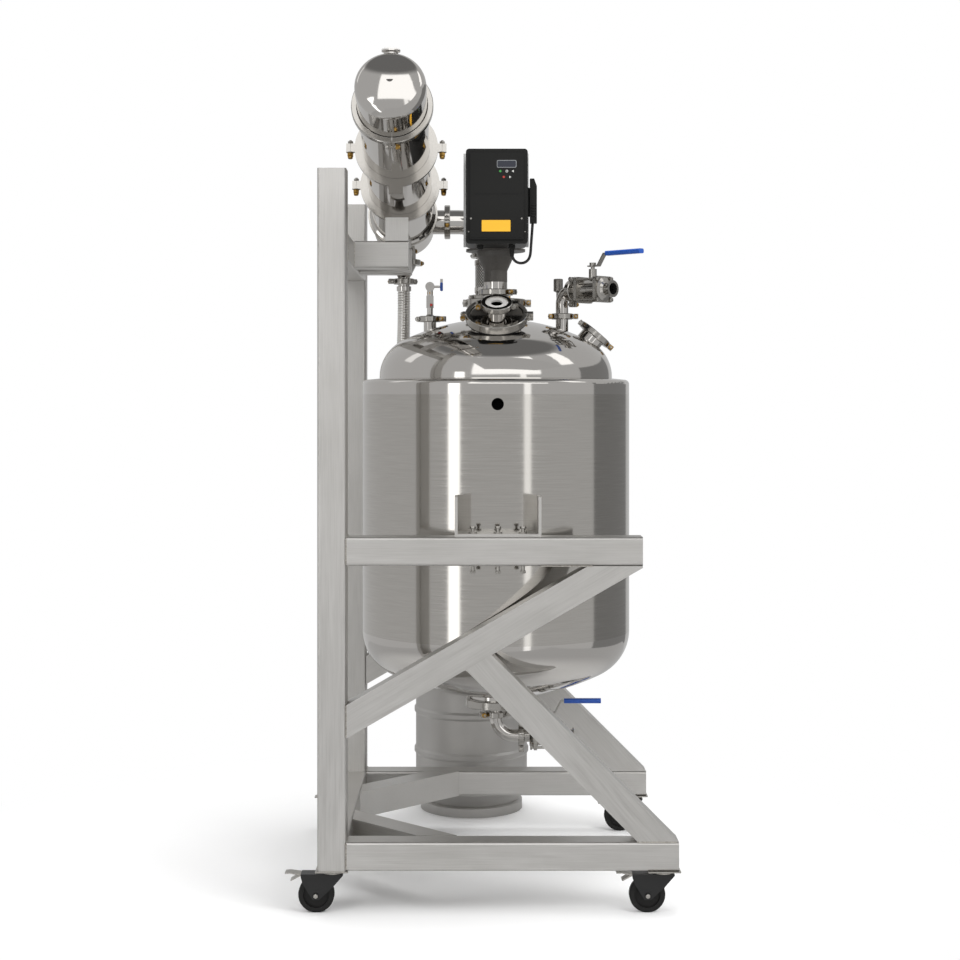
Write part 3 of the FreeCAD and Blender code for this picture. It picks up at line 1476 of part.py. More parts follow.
# Vapour line: elbow, then a braided hose down to the lid
vapour_tail = S.riser_x - S.vapour_bend - S.vapour_clamp_x
vapour_low = vapour_z - S.vapour_bend
riser_drop = S.vapour_drop
vapour_elbow = put(elbow("vapour_bend", vapour_tail, S.tube30, S.face30, S.vapour_bend, S.face_edge),
                   S.vapour_clamp_x,
                   S.vapour_y, vapour_z, up=(1, 0, 0), ahead=(0, 0, -1))
vapour_end = put(turned("vapour_end", [
    (S.tube30 - S.pipe_wall, 0), (S.tube30, 0), (S.tube30, riser_drop - S.face_edge - S.face_taper),
    (S.face30, riser_drop - S.face_edge), (S.face30, riser_drop), (S.tube30 - S.pipe_wall, riser_drop),
]), S.riser_x, S.vapour_y, vapour_low, up=(0, 0, -1))
vapour_elbow = fused("vapour_elbow", [vapour_elbow, vapour_end])
clamp_at(S.face30, S.vapour_clamp_x, S.vapour_y, vapour_z, up=(1, 0, 0), ahead=(0, -1, 0))
vapour_joint_z = vapour_low - riser_drop
clamp_at(S.face30, S.riser_x, S.vapour_y, vapour_joint_z, ahead=(1, -1, 0))


def hose_end(radius, face, hose, long):
    """Ferrule with a crimped collar that grips a hose: face at the origin, hose leaving upwards."""
    return turned("hose_end", [
        (0, 0), (face, 0), (face, S.face_edge), (radius, S.face_edge + S.face_taper),
        (radius, 14), (hose + 2, 16), (hose + 2, long), (0, long),
    ])


collar = S.collar_long
top_end = put(hose_end(S.tube30 - 2, S.face30, S.braid_radius, collar), S.riser_x, S.vapour_y,
              vapour_joint_z, up=(0, 0, -1))
low_end = put(hose_end(S.tube30 - 2, S.face30, S.braid_radius, collar), S.riser_x, S.vapour_y,
              S.vapour_joint)
braid_top = vapour_joint_z - collar
braid_low = S.vapour_joint + collar
node(put(rod(S.braid_radius, braid_top - braid_low), S.riser_x, S.vapour_y, braid_low), "vapour_hose")

# Condensate line: reducer under the condenser, then a corrugated hose to the receiver
reducer_tall = S.drain_joint - S.drain_reducer
condensate_reducer = put(turned("condensate_reducer", [
    (S.tube30 - S.pipe_wall, 0), (S.face30, 0), (S.face30, S.face_edge),
    (S.tube30, S.face_edge + S.face_taper),
    (S.tube30, 12), (S.tube15, reducer_tall - 12), (S.tube15, reducer_tall - S.face_edge - S.face_taper),
    (S.face15, reducer_tall - S.face_edge), (S.face15, reducer_tall),
    (S.tube15 - S.pipe_wall, reducer_tall),
    (S.tube15 - S.pipe_wall, reducer_tall - 12), (S.tube30 - S.pipe_wall, 12),
]), S.condenser_x, S.drain_y, S.drain_joint, up=(0, 0, -1))
clamp_at(S.face30, S.condenser_x, S.drain_y, S.drain_joint, up=(0, 0, -1), ahead=(1, 1, 0))
clamp_at(S.face15, S.condenser_x, S.drain_y, S.drain_reducer, up=(0, 0, -1), ahead=(-1, -0.4, 0))

hose_top = S.drain_reducer - 30
receiver_joint = S.receiver_tall + 60
top_hose_end = put(hose_end(S.tube15 - 1, S.face15, S.hose_radius, formula(30)), S.condenser_x, S.drain_y,
                   S.drain_reducer,
                   up=(0, 0, -1))
low_hose_end = put(hose_end(S.tube15 - 1, S.face15, S.hose_radius, formula(30)), S.receiver_x,
                   S.receiver_y, receiver_joint)
node(together("hose_ends", [top_end, low_end, top_hose_end, low_hose_end]))
clamp_at(S.face15, S.receiver_x, S.receiver_y, receiver_joint, ahead=(1, 0, 0))
condensate_points = [
    (S.condenser_x.value, S.drain_y.value, hose_top.value),
    (S.condenser_x.value, S.drain_y.value, 1716),
    (-289, 238, 1644),
    (-293, 272, 1566),
    (-296, 326, 1488),
    (-296, 392, 1408),
    (-287, 462, 1326),
    (-270, 534, 1238),
    (-244, 604, 1148),
    (-212, 664, 1062),
    (-176, 714, 976),
    (-142, 752, 898),
    (-112, 778, 822),
    (-88, 793, 748),
    (S.receiver_x.value, S.receiver_y.value, 680),
    (S.receiver_x.value, S.receiver_y.value, (receiver_joint + 30).value),
]
node(cord("condensate_hose", condensate_points, S.hose_radius.value))

# Receiver: a drawn keg with rolling ribs and a chime at each end

rib = S.receiver_radius + S.receiver_rib
shell_r = S.receiver_radius
keg_wall = S.receiver_wall
low_rib = formula(205)
high_rib = formula(345)
chime_in = S.chime_radius - 3
shell_low = S.chime_tall + 40
shell_high = S.receiver_tall - S.chime_tall - 40
keg = turned("keg", [
    (shell_r, shell_low), (shell_r, low_rib - 14), (rib, low_rib - 6), (rib, low_rib + 6),
    (shell_r, low_rib + 14),
    (shell_r, high_rib - 14), (rib, high_rib - 6), (rib, high_rib + 6), (shell_r, high_rib + 14),
    (shell_r, shell_high),
    (S.chime_radius - 8, S.receiver_tall - S.chime_tall), (40, S.receiver_tall - S.chime_tall + 12),
    (40, S.receiver_tall - S.chime_tall + 12 - keg_wall),
    (S.chime_radius - 8 - keg_wall, S.receiver_tall - S.chime_tall - keg_wall),
    (shell_r - keg_wall, shell_high - 2), (shell_r - keg_wall, shell_low + 2),
    (S.chime_radius - 8 - keg_wall, S.chime_tall + keg_wall), (0, S.chime_tall - 10),
    (0, S.chime_tall - 10 - keg_wall),
    (S.chime_radius - 8, S.chime_tall - keg_wall),
])
put(keg, S.receiver_x, S.receiver_y, 0)
low_seat = S.chime_tall - keg_wall - S.seat_gap
high_seat = S.receiver_tall - S.chime_tall + 2 * S.seat_gap
low_chime = put(turned("low_chime", [
    (chime_in, 0), (S.chime_radius, 0), (S.chime_radius, S.chime_tall - 8), (S.chime_radius - 9, low_seat),
    (S.chime_radius - 12, low_seat), (chime_in, S.chime_tall - 8),
]), S.receiver_x, S.receiver_y, 0)
high_chime = put(turned("high_chime", [
    (chime_in, S.receiver_tall), (chime_in, S.receiver_tall - S.chime_tall + 8),
    (S.chime_radius - 12, high_seat), (S.chime_radius - 9, high_seat),
    (S.chime_radius, S.receiver_tall - S.chime_tall + 8), (S.chime_radius, S.receiver_tall),
]), S.receiver_x, S.receiver_y, 0)
node(together("receiver_chimes", [low_chime, high_chime]))
neck_foot = S.receiver_tall - S.chime_tall + 12
keg_neck = put(turned("receiver_neck", [
    (S.tube15 - S.pipe_wall, neck_foot - 1.5), (50, neck_foot - 1.5), (50, neck_foot + 4),
    (S.tube15, neck_foot + 4),
    (S.tube15, receiver_joint - S.face_edge - S.face_taper), (S.face15, receiver_joint - S.face_edge),
    (S.face15, receiver_joint), (S.tube15 - S.pipe_wall, receiver_joint),
]), S.receiver_x, S.receiver_y, 0)
node(fused("receiver_shell", [keg, keg_neck]))

# Bottom outlet

outlet_top = S.jacket_foot - S.vessel_radius * 0.5 + 1
node(put(turned("outlet_neck", [
    (S.tube60 - S.pipe_wall, S.outlet_joint), (S.face60, S.outlet_joint),
    (S.face60, S.outlet_joint + S.face_edge),
    (S.tube60, S.outlet_joint + S.face_edge + S.face_taper), (S.tube60, outlet_top + 3),
    (S.tube60 - S.pipe_wall, outlet_top + 3),
]), 0, 0, 0))
small_stub = S.outlet_joint - S.outlet_small_joint
outlet_reducer = put(turned("outlet_reducer", [
    (S.tube15 - S.pipe_wall, 0), (S.face60, 0), (S.face60, -S.face_edge),
    (S.face60 - 8, -S.face_edge - S.face_taper),
    (S.tube15, -S.face_edge - S.face_taper), (S.tube15, -small_stub + S.face_edge + S.face_taper),
    (S.face15, -small_stub + S.face_edge), (S.face15, -small_stub), (S.tube15 - S.pipe_wall, -small_stub),
]), 0, 0, S.outlet_joint)
node(together("pipe_reducers", [condensate_reducer, outlet_reducer]))
clamp_at(S.face60, 0, 0, S.outlet_joint, ahead=(1, -1, 0))
clamp_at(S.face15, 0, 0, S.outlet_small_joint, ahead=(-1, -0.3, 0))

outlet_tail = S.outlet_valve_x - S.valve_half - S.elbow_radius
outlet_rise = S.outlet_small_joint - S.outlet_axis - S.elbow_radius
outlet_elbow = put(elbow("outlet_bend", outlet_rise, S.tube15, S.face15, S.elbow_radius, outlet_tail), 0, 0,
                   S.outlet_small_joint, up=(0, 0, -1), ahead=(1, 0, 0))
outlet_flange = put(end_flange("outlet_flange", S.tube15, S.face15), S.outlet_valve_x - S.valve_half, 0,
                    S.outlet_axis,
                    up=(1, 0, 0), ahead=(0, 0, 1))
outlet_elbow = fused("outlet_elbow", [outlet_elbow, outlet_flange])
node(together("pipe_elbows", [top_valve_elbow, vapour_elbow, outlet_elbow]))
clamp_at(S.face15, S.outlet_valve_x - S.valve_half, 0, S.outlet_axis, up=(1, 0, 0), ahead=(0, 0, -1))
node(put(valve_body("outlet_valve_body"), S.outlet_valve_x, 0, S.outlet_axis, up=(1, 0, 0),
         ahead=(0, 0, 1)))
outlet_start, outlet_end = S.outlet_grip_start, S.outlet_grip_end
node(put(valve_lever("outlet_valve_lever", outlet_start, outlet_end), S.outlet_valve_x, 0, S.outlet_axis))
node(put(valve_grip("outlet_valve_grip", outlet_start, outlet_end), S.outlet_valve_x, 0, S.outlet_axis))

node(together("pipe_clamps", clamps))

# Check every object, then write each sub-part

doc.recompute()
for item in doc.Objects:
    bad = [state for state in item.State if state in ("Invalid", "Error")]
    if bad:
        raise RuntimeError(f"{item.Label} ({item.Name}) is {bad}")
for piece in nodes:
    if piece.Shape.isNull() or not piece.Shape.isValid():
        raise RuntimeError(f"{piece.Label} has no valid shape")
    piece.Shape.exportStep(f"parts/{piece.Label}.step")
print(len(nodes), "sub-parts")
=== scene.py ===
"""Jacketed stainless steel reactor on a square tube caster frame, with its condenser, drive and receiver."""
import bpy
import bmesh
import math
from mathutils import Matrix, Vector


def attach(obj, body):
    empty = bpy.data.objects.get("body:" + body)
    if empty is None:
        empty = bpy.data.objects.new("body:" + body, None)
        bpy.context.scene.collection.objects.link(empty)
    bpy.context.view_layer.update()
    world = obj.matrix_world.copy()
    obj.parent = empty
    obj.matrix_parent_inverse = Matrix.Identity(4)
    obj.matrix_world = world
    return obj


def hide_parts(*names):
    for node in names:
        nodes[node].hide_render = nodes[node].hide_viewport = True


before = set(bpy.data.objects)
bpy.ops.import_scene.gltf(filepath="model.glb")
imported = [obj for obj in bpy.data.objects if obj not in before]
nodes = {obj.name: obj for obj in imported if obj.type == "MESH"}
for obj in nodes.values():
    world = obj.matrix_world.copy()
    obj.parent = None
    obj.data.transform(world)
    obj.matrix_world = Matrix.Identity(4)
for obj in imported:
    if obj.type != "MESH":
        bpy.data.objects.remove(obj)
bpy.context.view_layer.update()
scene = bpy.context.scene
scene.view_settings.view_transform = "Standard"

# Camera: a product shot taken square on from the reactor's near side, from about five metres, a little below the lid.
camera = bpy.data.objects.new("camera", bpy.data.cameras.new("camera"))
camera.location = (-0.072, -5.345, 1.432)
camera.rotation_euler = (math.radians(90), 0, 0)
camera.data.lens = 65.81
camera.data.sensor_width = 36
camera.data.shift_x = 0.0083
camera.data.shift_y = -0.0865
scene.collection.objects.link(camera)
scene.camera = camera


# ---------------------------------------------------------------------------------------------------------------
# Drive lead: black rubber-sheathed flex of 8 mm that leaves the box's right gland, loops under the box and goes
# into the plug on its side. It is one free cord, held by the gland's tapered sleeve and by the plug.

def linear(code):
    """Colour of a shader socket from the sRGB hex that the eye picks."""
    parts = [int(code[i:i + 2], 16) / 255 for i in (1, 3, 5)]
    return tuple(c / 12.92 if c <= 0.04045 else ((c + 0.055) / 1.055) ** 2.4 for c in parts) + (1,)


def add(tree, kind, settings=None, **inputs):
    """One shader node; settings are its own values, inputs are numbers, colours or another node's output."""
    made = tree.nodes.new(kind)
    for name, value in (settings or {}).items():
        setattr(made, name, value)
    for name, value in inputs.items():
        key = int(name[1:]) if name[0] == "i" and name[1:].isdigit() else name.replace("_", " ")
        socket = made.inputs[key]
        if isinstance(value, bpy.types.NodeSocket):
            tree.links.new(value, socket)
        else:
            socket.default_value = value
    return made


def new_material(name, colour, metallic, roughness):
    """A named material with its shader, ready for the finish's own nodes."""
    made = bpy.data.materials.new(name)
    made.use_nodes = True
    shader = made.node_tree.nodes["Principled BSDF"]
    shader.inputs["Base Color"].default_value = linear(colour)
    shader.inputs["Metallic"].default_value = metallic
    shader.inputs["Roughness"].default_value = roughness
    return made, made.node_tree, shader


def object_place(tree):
    """Where a point lies on the object, in metres: every pattern is laid out by it."""
    return add(tree, "ShaderNodeTexCoord").outputs["Object"]


def noise(tree, scale, detail=2):
    """An even cloudy pattern over the piece, with so many spots to the metre."""
    return add(tree, "ShaderNodeTexNoise", Vector=object_place(tree), Scale=scale, Detail=detail).outputs["Fac"]


def spread(tree, shader, pattern, low, high, start=0, end=1):
    """Roughness that goes from low to high while the pattern goes from start to end."""
    rough = add(tree, "ShaderNodeMapRange", Value=pattern, i1=start, i2=end, i3=low, i4=high).outputs[0]
    tree.links.new(rough, shader.inputs["Roughness"])


# Moulded rubber: matt black with a faint talc bloom that makes the light spread softly along the loop.
rubber_sheath, tree, shader = new_material("rubber_sheath", "#1c1b1b", 0, 0.55)
bloom = noise(tree, 180, 3)
spread(tree, shader, bloom, 0.45, 0.68)


def cord_line(name, points):
    """The smooth line of a cord, its route's points as the control points of one open spline."""
    data = bpy.data.curves.new(name, "CURVE")
    data.dimensions = "3D"
    data.resolution_u = 16
    spline = data.splines.new("NURBS")
    spline.points.add(len(points) - 1)
    for point, place in zip(spline.points, points):
        point.co = (*place, 1)
    spline.order_u = 3
    spline.use_endpoint_u = True
    made = bpy.data.objects.new(name, data)
    scene.collection.objects.link(made)
    return made


lead = cord_line("drive_lead_flex", [
    (0.045, -0.190, 1.865), (0.045, -0.190, 1.841), (0.0608, -0.190, 1.8252), (0.0832, -0.190, 1.8252),
    (0.099, -0.190, 1.841), (0.1015, -0.190, 1.880), (0.106, -0.190, 1.942),
])
lead.data.bevel_depth = 0.004
lead.data.bevel_resolution = 5
lead.data.materials.append(rubber_sheath)
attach(lead, "plant")
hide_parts("drive_lead")


# ---------------------------------------------------------------------------------------------------------------
# Condensate hose: annular corrugated stainless hose of 42 mm, drawn from thin strip, welded to a ferrule collar at
# each end. It hangs from the condenser's drain, passes behind the vessel and comes down on the receiver's neck.

def turn_to(way):
    """The turn that lays an upright line along a direction."""
    return Vector((0, 0, 1)).rotation_difference(Vector(way)).to_matrix().to_4x4()


def follow(line, pitch, radius_at, sides):
    """A tube drawn along a cord's smooth line, ring by ring; the radius changes with the distance."""
    plain = bpy.data.meshes.new_from_object(line)
    path = [vertex.co.copy() for vertex in plain.vertices]
    lengths = [0]
    for a, b in zip(path, path[1:]):
        lengths.append(lengths[-1] + (b - a).length)
    total = lengths[-1]
    count = round(total / pitch)
    stations = []
    at = 0
    for step in range(count + 1):
        want = total * step / count
        while at < len(path) - 2 and lengths[at + 1] < want:
            at += 1
        share = (want - lengths[at]) / (lengths[at + 1] - lengths[at])
        stations.append((path[at].lerp(path[at + 1], share), (path[at + 1] - path[at]).normalized(), want))
    bm = bmesh.new()
    turn = turn_to(stations[0][1])
    last = Matrix.Translation(stations[0][0]) @ turn @ Matrix.Scale(radius_at(0), 4)
    ring = bmesh.ops.create_circle(bm, segments=sides, radius=1, matrix=last)["verts"]
    edges = list({edge for vertex in ring for edge in vertex.link_edges})
    way = stations[0][1]
    for centre, ahead, distance in stations[1:]:
        grown = bmesh.ops.extrude_edge_only(bm, edges=edges)["geom"]
        ring = [item for item in grown if isinstance(item, bmesh.types.BMVert)]
        edges = [item for item in grown if isinstance(item, bmesh.types.BMEdge)
                 and all(vertex in ring for vertex in item.verts)]
        turn = way.rotation_difference(ahead).to_matrix().to_4x4() @ turn
        way = ahead
        here = Matrix.Translation(centre) @ turn @ Matrix.Scale(radius_at(distance), 4)
        bmesh.ops.transform(bm, matrix=here @ last.inverted(), verts=ring)
        last = here
    bmesh.ops.recalc_face_normals(bm, faces=bm.faces)
    return bm, path


def finish_piece(name, bm, material, body, smooth=35):
    """Make the object from its mesh, shade it, give it its finish and let it ride on its body."""
    mesh = bpy.data.meshes.new(name)
    bm.to_mesh(mesh)
    bm.free()
    mesh.materials.append(material)
    made = bpy.data.objects.new(name, mesh)
    scene.collection.objects.link(made)
    mesh.shade_smooth()
    mesh.set_sharp_from_angle(angle=math.radians(smooth))
    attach(made, body)
    return made


def tint(tree, shader, pattern, low, high):
    """Colour that goes from one hex to another with the pattern."""
    mixed = add(tree, "ShaderNodeMixRGB", Fac=pattern, Color1=linear(low), Color2=linear(high)).outputs[0]
    tree.links.new(mixed, shader.inputs["Base Color"])


# Cold-drawn stainless strip: bright on the crests, dark in the roots where the hose folds over itself.
corrugated_steel, tree, shader = new_material("corrugated_stainless_hose", "#dedbd6", 1, 0.2)
drawn = noise(tree, 60, 4)
spread(tree, shader, drawn, 0.14, 0.26)
tint(tree, shader, drawn, "#cfccc7", "#ebe9e5")

condensate_line = cord_line("condensate_line", [
    (-0.288, 0.224, 1.768), (-0.288, 0.224, 1.716), (-0.289, 0.238, 1.644), (-0.293, 0.272, 1.566),
    (-0.296, 0.326, 1.488), (-0.296, 0.392, 1.408), (-0.287, 0.462, 1.326), (-0.270, 0.534, 1.238),
    (-0.244, 0.604, 1.148), (-0.212, 0.664, 1.062), (-0.176, 0.714, 0.976), (-0.142, 0.752, 0.898),
    (-0.112, 0.778, 0.822), (-0.088, 0.793, 0.748), (-0.074, 0.798, 0.680), (-0.074, 0.798, 0.622),
])
# Real pitch is about 5 mm; it is drawn at 8 mm so that each crest shows.
crest_pitch = 0.008
bm, hose_path = follow(condensate_line, crest_pitch / 4,
                       lambda d: 0.0195 + 0.0015 * math.cos(2 * math.pi * d / crest_pitch), 24)
hose = finish_piece("condensate_hose_tube", bm, corrugated_steel, "plant", 80)
bpy.data.objects.remove(condensate_line)
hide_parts("condensate_hose")


# ---------------------------------------------------------------------------------------------------------------
# Frame: 80 mm square stainless tube, grit-brushed along its length, mitred and TIG welded, with flush plates
# welded over the open ends.

def reckon(tree, operation, *values):
    """One step of arithmetic between outputs and numbers."""
    inputs = {"i" + str(at): value for at, value in enumerate(values)}
    return add(tree, "ShaderNodeMath", {"operation": operation}, **inputs).outputs[0]


def relief(tree, shader, height, strength, distance):
    """Fine unevenness of the surface that only the light shows."""
    bump = add(tree, "ShaderNodeBump", Strength=strength, Distance=distance, Height=height).outputs[0]
    tree.links.new(bump, shader.inputs["Normal"])


def brushed_steel(name, along):
    """Stainless with a straight grain: streaks long in one direction, fine across it."""
    rough, across, stretch = 0.40, 1000 / 3, 40
    made, tree, shader = new_material(name, "#c8c6c3", 1, rough)
    scale = tuple(across / stretch if axis == along else across for axis in "xyz")
    streaks = add(tree, "ShaderNodeMapping", Vector=object_place(tree), Scale=scale).outputs[0]
    grain = add(tree, "ShaderNodeTexNoise", Vector=streaks, Scale=1, Detail=3, Roughness=0.6).outputs["Fac"]
    cloud = reckon(tree, "MULTIPLY", noise(tree, 3.5, 3), 0.45)
    mixed = reckon(tree, "MULTIPLY_ADD", grain, 0.55, cloud)
    shade = add(tree, "ShaderNodeMapRange", Value=mixed, i1=0.3, i2=0.7).outputs[0]
    tint(tree, shader, shade, "#bdbbb7", "#d2d0cd")
    spread(tree, shader, grain, rough - 0.07, rough + 0.09, 0.3, 0.7)
    relief(tree, shader, grain, 0.12, 0.0004)
    return made


# Brushed square tube: pale warm grey, soft sheen, with fine scratches that run along each tube. Grain is 0.4 mm
# in fact and drawn at 3 mm so that it shows.
tube_upright = brushed_steel("brushed_stainless_upright", "z")
tube_level = brushed_steel("brushed_stainless_level", "x")
tube_cross = brushed_steel("brushed_stainless_cross", "y")


def dress(material, *names):
    """Give CAD nodes their finish; their shape stays as it is."""
    for name in names:
        for item in nodes[name].material_slots:
            item.material = material


dress(tube_upright, "posts", "condenser_risers")
dress(tube_level, "base_rails", "mid_rails", "condenser_arms")
dress(tube_cross, "rear_base_beam", "upper_cross_beam")


def leaning_grain(name, degrees):
    """The same tube where it leans: its grain turned to the brace's own line."""
    made = tube_level.copy()
    made.name = name
    tree = made.node_tree
    angle = tuple(math.radians(part) for part in degrees)
    for item in list(tree.nodes):
        if item.bl_idname == "ShaderNodeMapping":
            source = item.inputs[0].links[0].from_socket
            turned = add(tree, "ShaderNodeMapping", Vector=source, Rotation=angle).outputs[0]
            tree.links.new(turned, item.inputs[0])
    return made


# Each brace's grain is turned close to its own slope.
dress(leaning_grain("brushed_stainless_long_brace", (0, 31, 0)), "long_braces")
dress(leaning_grain("brushed_stainless_short_brace", (0, -49, 0)), "short_braces")
dress(leaning_grain("brushed_stainless_corner_brace", (0, 0, 45)), "base_corner_braces")

# TIG weld: small overlapped ripples, a little brighter than the tube, at each joint between tubes.
weld_bead, tree, shader = new_material("tig_weld_stainless", "#c4c0b9", 1, 0.35)
ripple = add(tree, "ShaderNodeTexVoronoi", Vector=object_place(tree), Scale=220).outputs["Distance"]
relief(tree, shader, ripple, 0.6, 0.0008)
tint(tree, shader, ripple, "#d8d4cd", "#9c978f")


def rod(bm, sides, radius, tall, matrix, end=None):
    """A closed rod, round or many-sided, about its own upright line; end is its radius at the top."""
    return bmesh.ops.create_cone(bm, cap_ends=True, segments=sides, radius1=radius,
                                 radius2=radius if end is None else end, depth=tall, matrix=matrix)["verts"]


def edges_of(verts, way=None, along=True):
    """All edges of some vertices, or only those along a direction, or only those across it."""
    every = {e for v in verts for e in v.link_edges}
    if way is None:
        return list(every)
    share = {e: abs((e.verts[0].co - e.verts[1].co).normalized().dot(way)) for e in every}
    return [e for e in every if (share[e] > 0.99 if along else share[e] < 0.1)]


def bead(bm, start, end):
    """A run of weld between two points: a thin rod whose girth swells at each ripple."""
    radius, pitch = 0.0022, 0.0055
    start, end = Vector(start), Vector(end)
    length, way = (end - start).length, (end - start).normalized()
    steps = max(6, round(length / pitch) * 2)
    made = rod(bm, 6, radius, length, Matrix.Translation((start + end) / 2) @ turn_to(way))
    cuts = bmesh.ops.subdivide_edges(bm, edges=edges_of(made, way), cuts=steps - 1)
    for vertex in {v for v in cuts["geom_inner"] if isinstance(v, bmesh.types.BMVert)}:
        along = (vertex.co - start).dot(way)
        centre = start + way * along
        vertex.co = centre + (vertex.co - centre) * (0.75 + 0.4 * abs(math.sin(math.pi * along / pitch)))


bm = bmesh.new()
post_x, base_rail = -0.420, (0.122, 0.202)
for side in (-1, 1):
    face, inner = 0.4995 * side, 0.4205 * side
    # Rails against the post: down each rail's end, on the outer and the inner face, and across its top.
    for low, high in (base_rail, (0.965, 1.045)):
        for y in (face, inner):
            bead(bm, (post_x, y, low + 0.004), (post_x, y, high - 0.004))
        bead(bm, (-0.4195, 0.426 * side, high), (-0.4195, 0.494 * side, high))
    # Long brace: at the post and under the mid rail.
    bead(bm, (post_x, face, 0.492), (post_x, face, 0.580))
    bead(bm, (0.118, face, 0.965), (0.262, face, 0.965))
    # Short brace: on the base rail.
    bead(bm, (0.385, face, 0.2025), (0.493, face, 0.2025))
# Cross members between the two sides, and the arms on the upper beam.
for low, high in (base_rail, (1.813, 1.893)):
    for y in (-0.42, 0.42):
        bead(bm, (-0.4205, y, low + 0.004), (-0.4205, y, high - 0.004))
for y in (-0.165, -0.085, 0.085, 0.165):
    bead(bm, (post_x, y, 1.817), (post_x, y, 1.889))
finish_piece("frame_welds", bm, weld_bead, "plant", 60)


# ---------------------------------------------------------------------------------------------------------------
# Vessel and jacket: rolled 304 sheet. The jacket's shell is grained round the vessel by a belt between two
# polished bands; the vessel, its dished lid and the fittings are buffed to a mirror.

# Mirror-polished stainless: clear reflections, a faint orange peel from rolling and fine polishing swirls.
mirror_steel, tree, shader = new_material("mirror_polished_stainless", "#c9c6c2", 1, 0.07)
peel = noise(tree, 14)
relief(tree, shader, peel, 0.02, 0.002)
spread(tree, shader, noise(tree, 240, 3), 0.04, 0.1, 0.3, 0.7)

dress(mirror_steel, "vessel_lid", "lid_ports", "lid_spools", "pipe_elbows", "pipe_reducers",
      "condenser_shell", "condenser_heads", "condenser_ports", "outlet_neck", "hose_ends", "jacket_bottom_head")


def ease(tree, value, start, end):
    """A soft step from 0 to 1 while a value goes from start to end."""
    return add(tree, "ShaderNodeMapRange", {"interpolation_type": "SMOOTHSTEP"}, Value=value,
               i1=start, i2=end).outputs[0]


def between(tree, share, low, high):
    """A number between two others."""
    return add(tree, "ShaderNodeMix", {"data_type": "FLOAT"}, i0=share, i2=low, i3=high).outputs[0]


# Belt-grained jacket shell: level streaks round the vessel between polished bands at the top and the foot.
belt_grain, tree, shader = new_material("belt_grained_stainless", "#bab7b2", 1, 0.3)
place = object_place(tree)
height = add(tree, "ShaderNodeSeparateXYZ", Vector=place).outputs[2]
# Fine level streaks, 0.3 mm in fact and drawn at 2.5 mm, that fade in and out round the shell.
streaks = add(tree, "ShaderNodeMapping", Vector=place, Scale=(9, 9, 420)).outputs[0]
grain = add(tree, "ShaderNodeTexNoise", Vector=streaks, Scale=1, Detail=4, Roughness=0.65).outputs["Fac"]
bands = reckon(tree, "MAXIMUM", ease(tree, height, 1.438, 1.442), ease(tree, height, 0.726, 0.722))
grained = add(tree, "ShaderNodeMapRange", Value=grain, i1=0.3, i2=0.7, i3=0.07, i4=0.14).outputs[0]
tree.links.new(between(tree, bands, grained, 0.07), shader.inputs["Roughness"])
tone = add(tree, "ShaderNodeMixRGB", Fac=grain, Color1=linear("#b0ada8"), Color2=linear("#c9c6c1")).outputs[0]
tone = add(tree, "ShaderNodeMixRGB", Fac=bands, Color1=tone, Color2=linear("#c9c6c2")).outputs[0]
tree.links.new(tone, shader.inputs["Base Color"])
relief(tree, shader, reckon(tree, "MULTIPLY", grain, 0.5), 0.06, 0.0004)
dress(belt_grain, "jacket_shell")
dress(tube_level, "support_lugs")


def soften(bm, edges, offset, segments=2):
    """A rounded edge in place of each sharp one."""
    bmesh.ops.bevel(bm, geom=edges, offset=offset, offset_type="OFFSET", segments=segments, profile=0.5,
                    affect="EDGES", material=-1)


def bolt_along(bm, centre, way, head, shank, long, head_tall, nut_at=None):
    """A hexagon bolt lying along a direction: head at one end, shank, and at times a nut towards the other."""
    way = Vector(way).normalized()
    turn = Matrix.Translation(Vector(centre)) @ turn_to(way)
    rod(bm, 12, shank, long, turn)
    ends = [-long / 2 - head_tall / 2]
    if nut_at:
        ends.append(long / 2 * nut_at)
    for at in ends:
        made = rod(bm, 6, head, head_tall, turn @ Matrix.Translation((0, 0, at)))
        soften(bm, edges_of(made, way, False), head * 0.12)


# Zinc-plated bolts through the lugs into the mid rails: three a side, with washers and ends below the rail.
zinc_bolt, tree, shader = new_material("zinc_plated_steel", "#b4b1ac", 1, 0.33)
spangle = noise(tree, 320)
tint(tree, shader, spangle, "#8e8b86", "#cbc8c2")
spread(tree, shader, spangle, 0.25, 0.45)

bm = bmesh.new()
for side in (-1, 1):
    for x in (-0.070, 0, 0.070):
        y = 0.460 * side
        for washer_z in (1.0545, 0.9635):
            rod(bm, 24, 0.012, 0.003, Matrix.Translation((x, y, washer_z)))
        bolt_along(bm, (x, y, 1.0605), (0, 0, -1), head=0.009, shank=0.005, long=0.009, head_tall=0.007)
        bolt_along(bm, (x, y, 0.955), (0, 0, 1), head=0.009, shank=0.005, long=0.013, head_tall=0.007)
        rod(bm, 12, 0.005, 0.006, Matrix.Translation((x, y, 0.944)), 0.004)
finish_piece("lug_bolts", bm, zinc_bolt, "plant")

# Jacket port: an open stub of tube through the jacket's wall, for a heating line. A thin lining follows its bore.
# Its inner wall is painted black as shade, so it gives the eye no reflection; the bore itself stays open.
port_shade, tree, shader = new_material("black_for_bore_shade_and_seams", "#0b0b0b", 0, 0.8)
spread(tree, shader, noise(tree, 90), 0.7, 0.95)
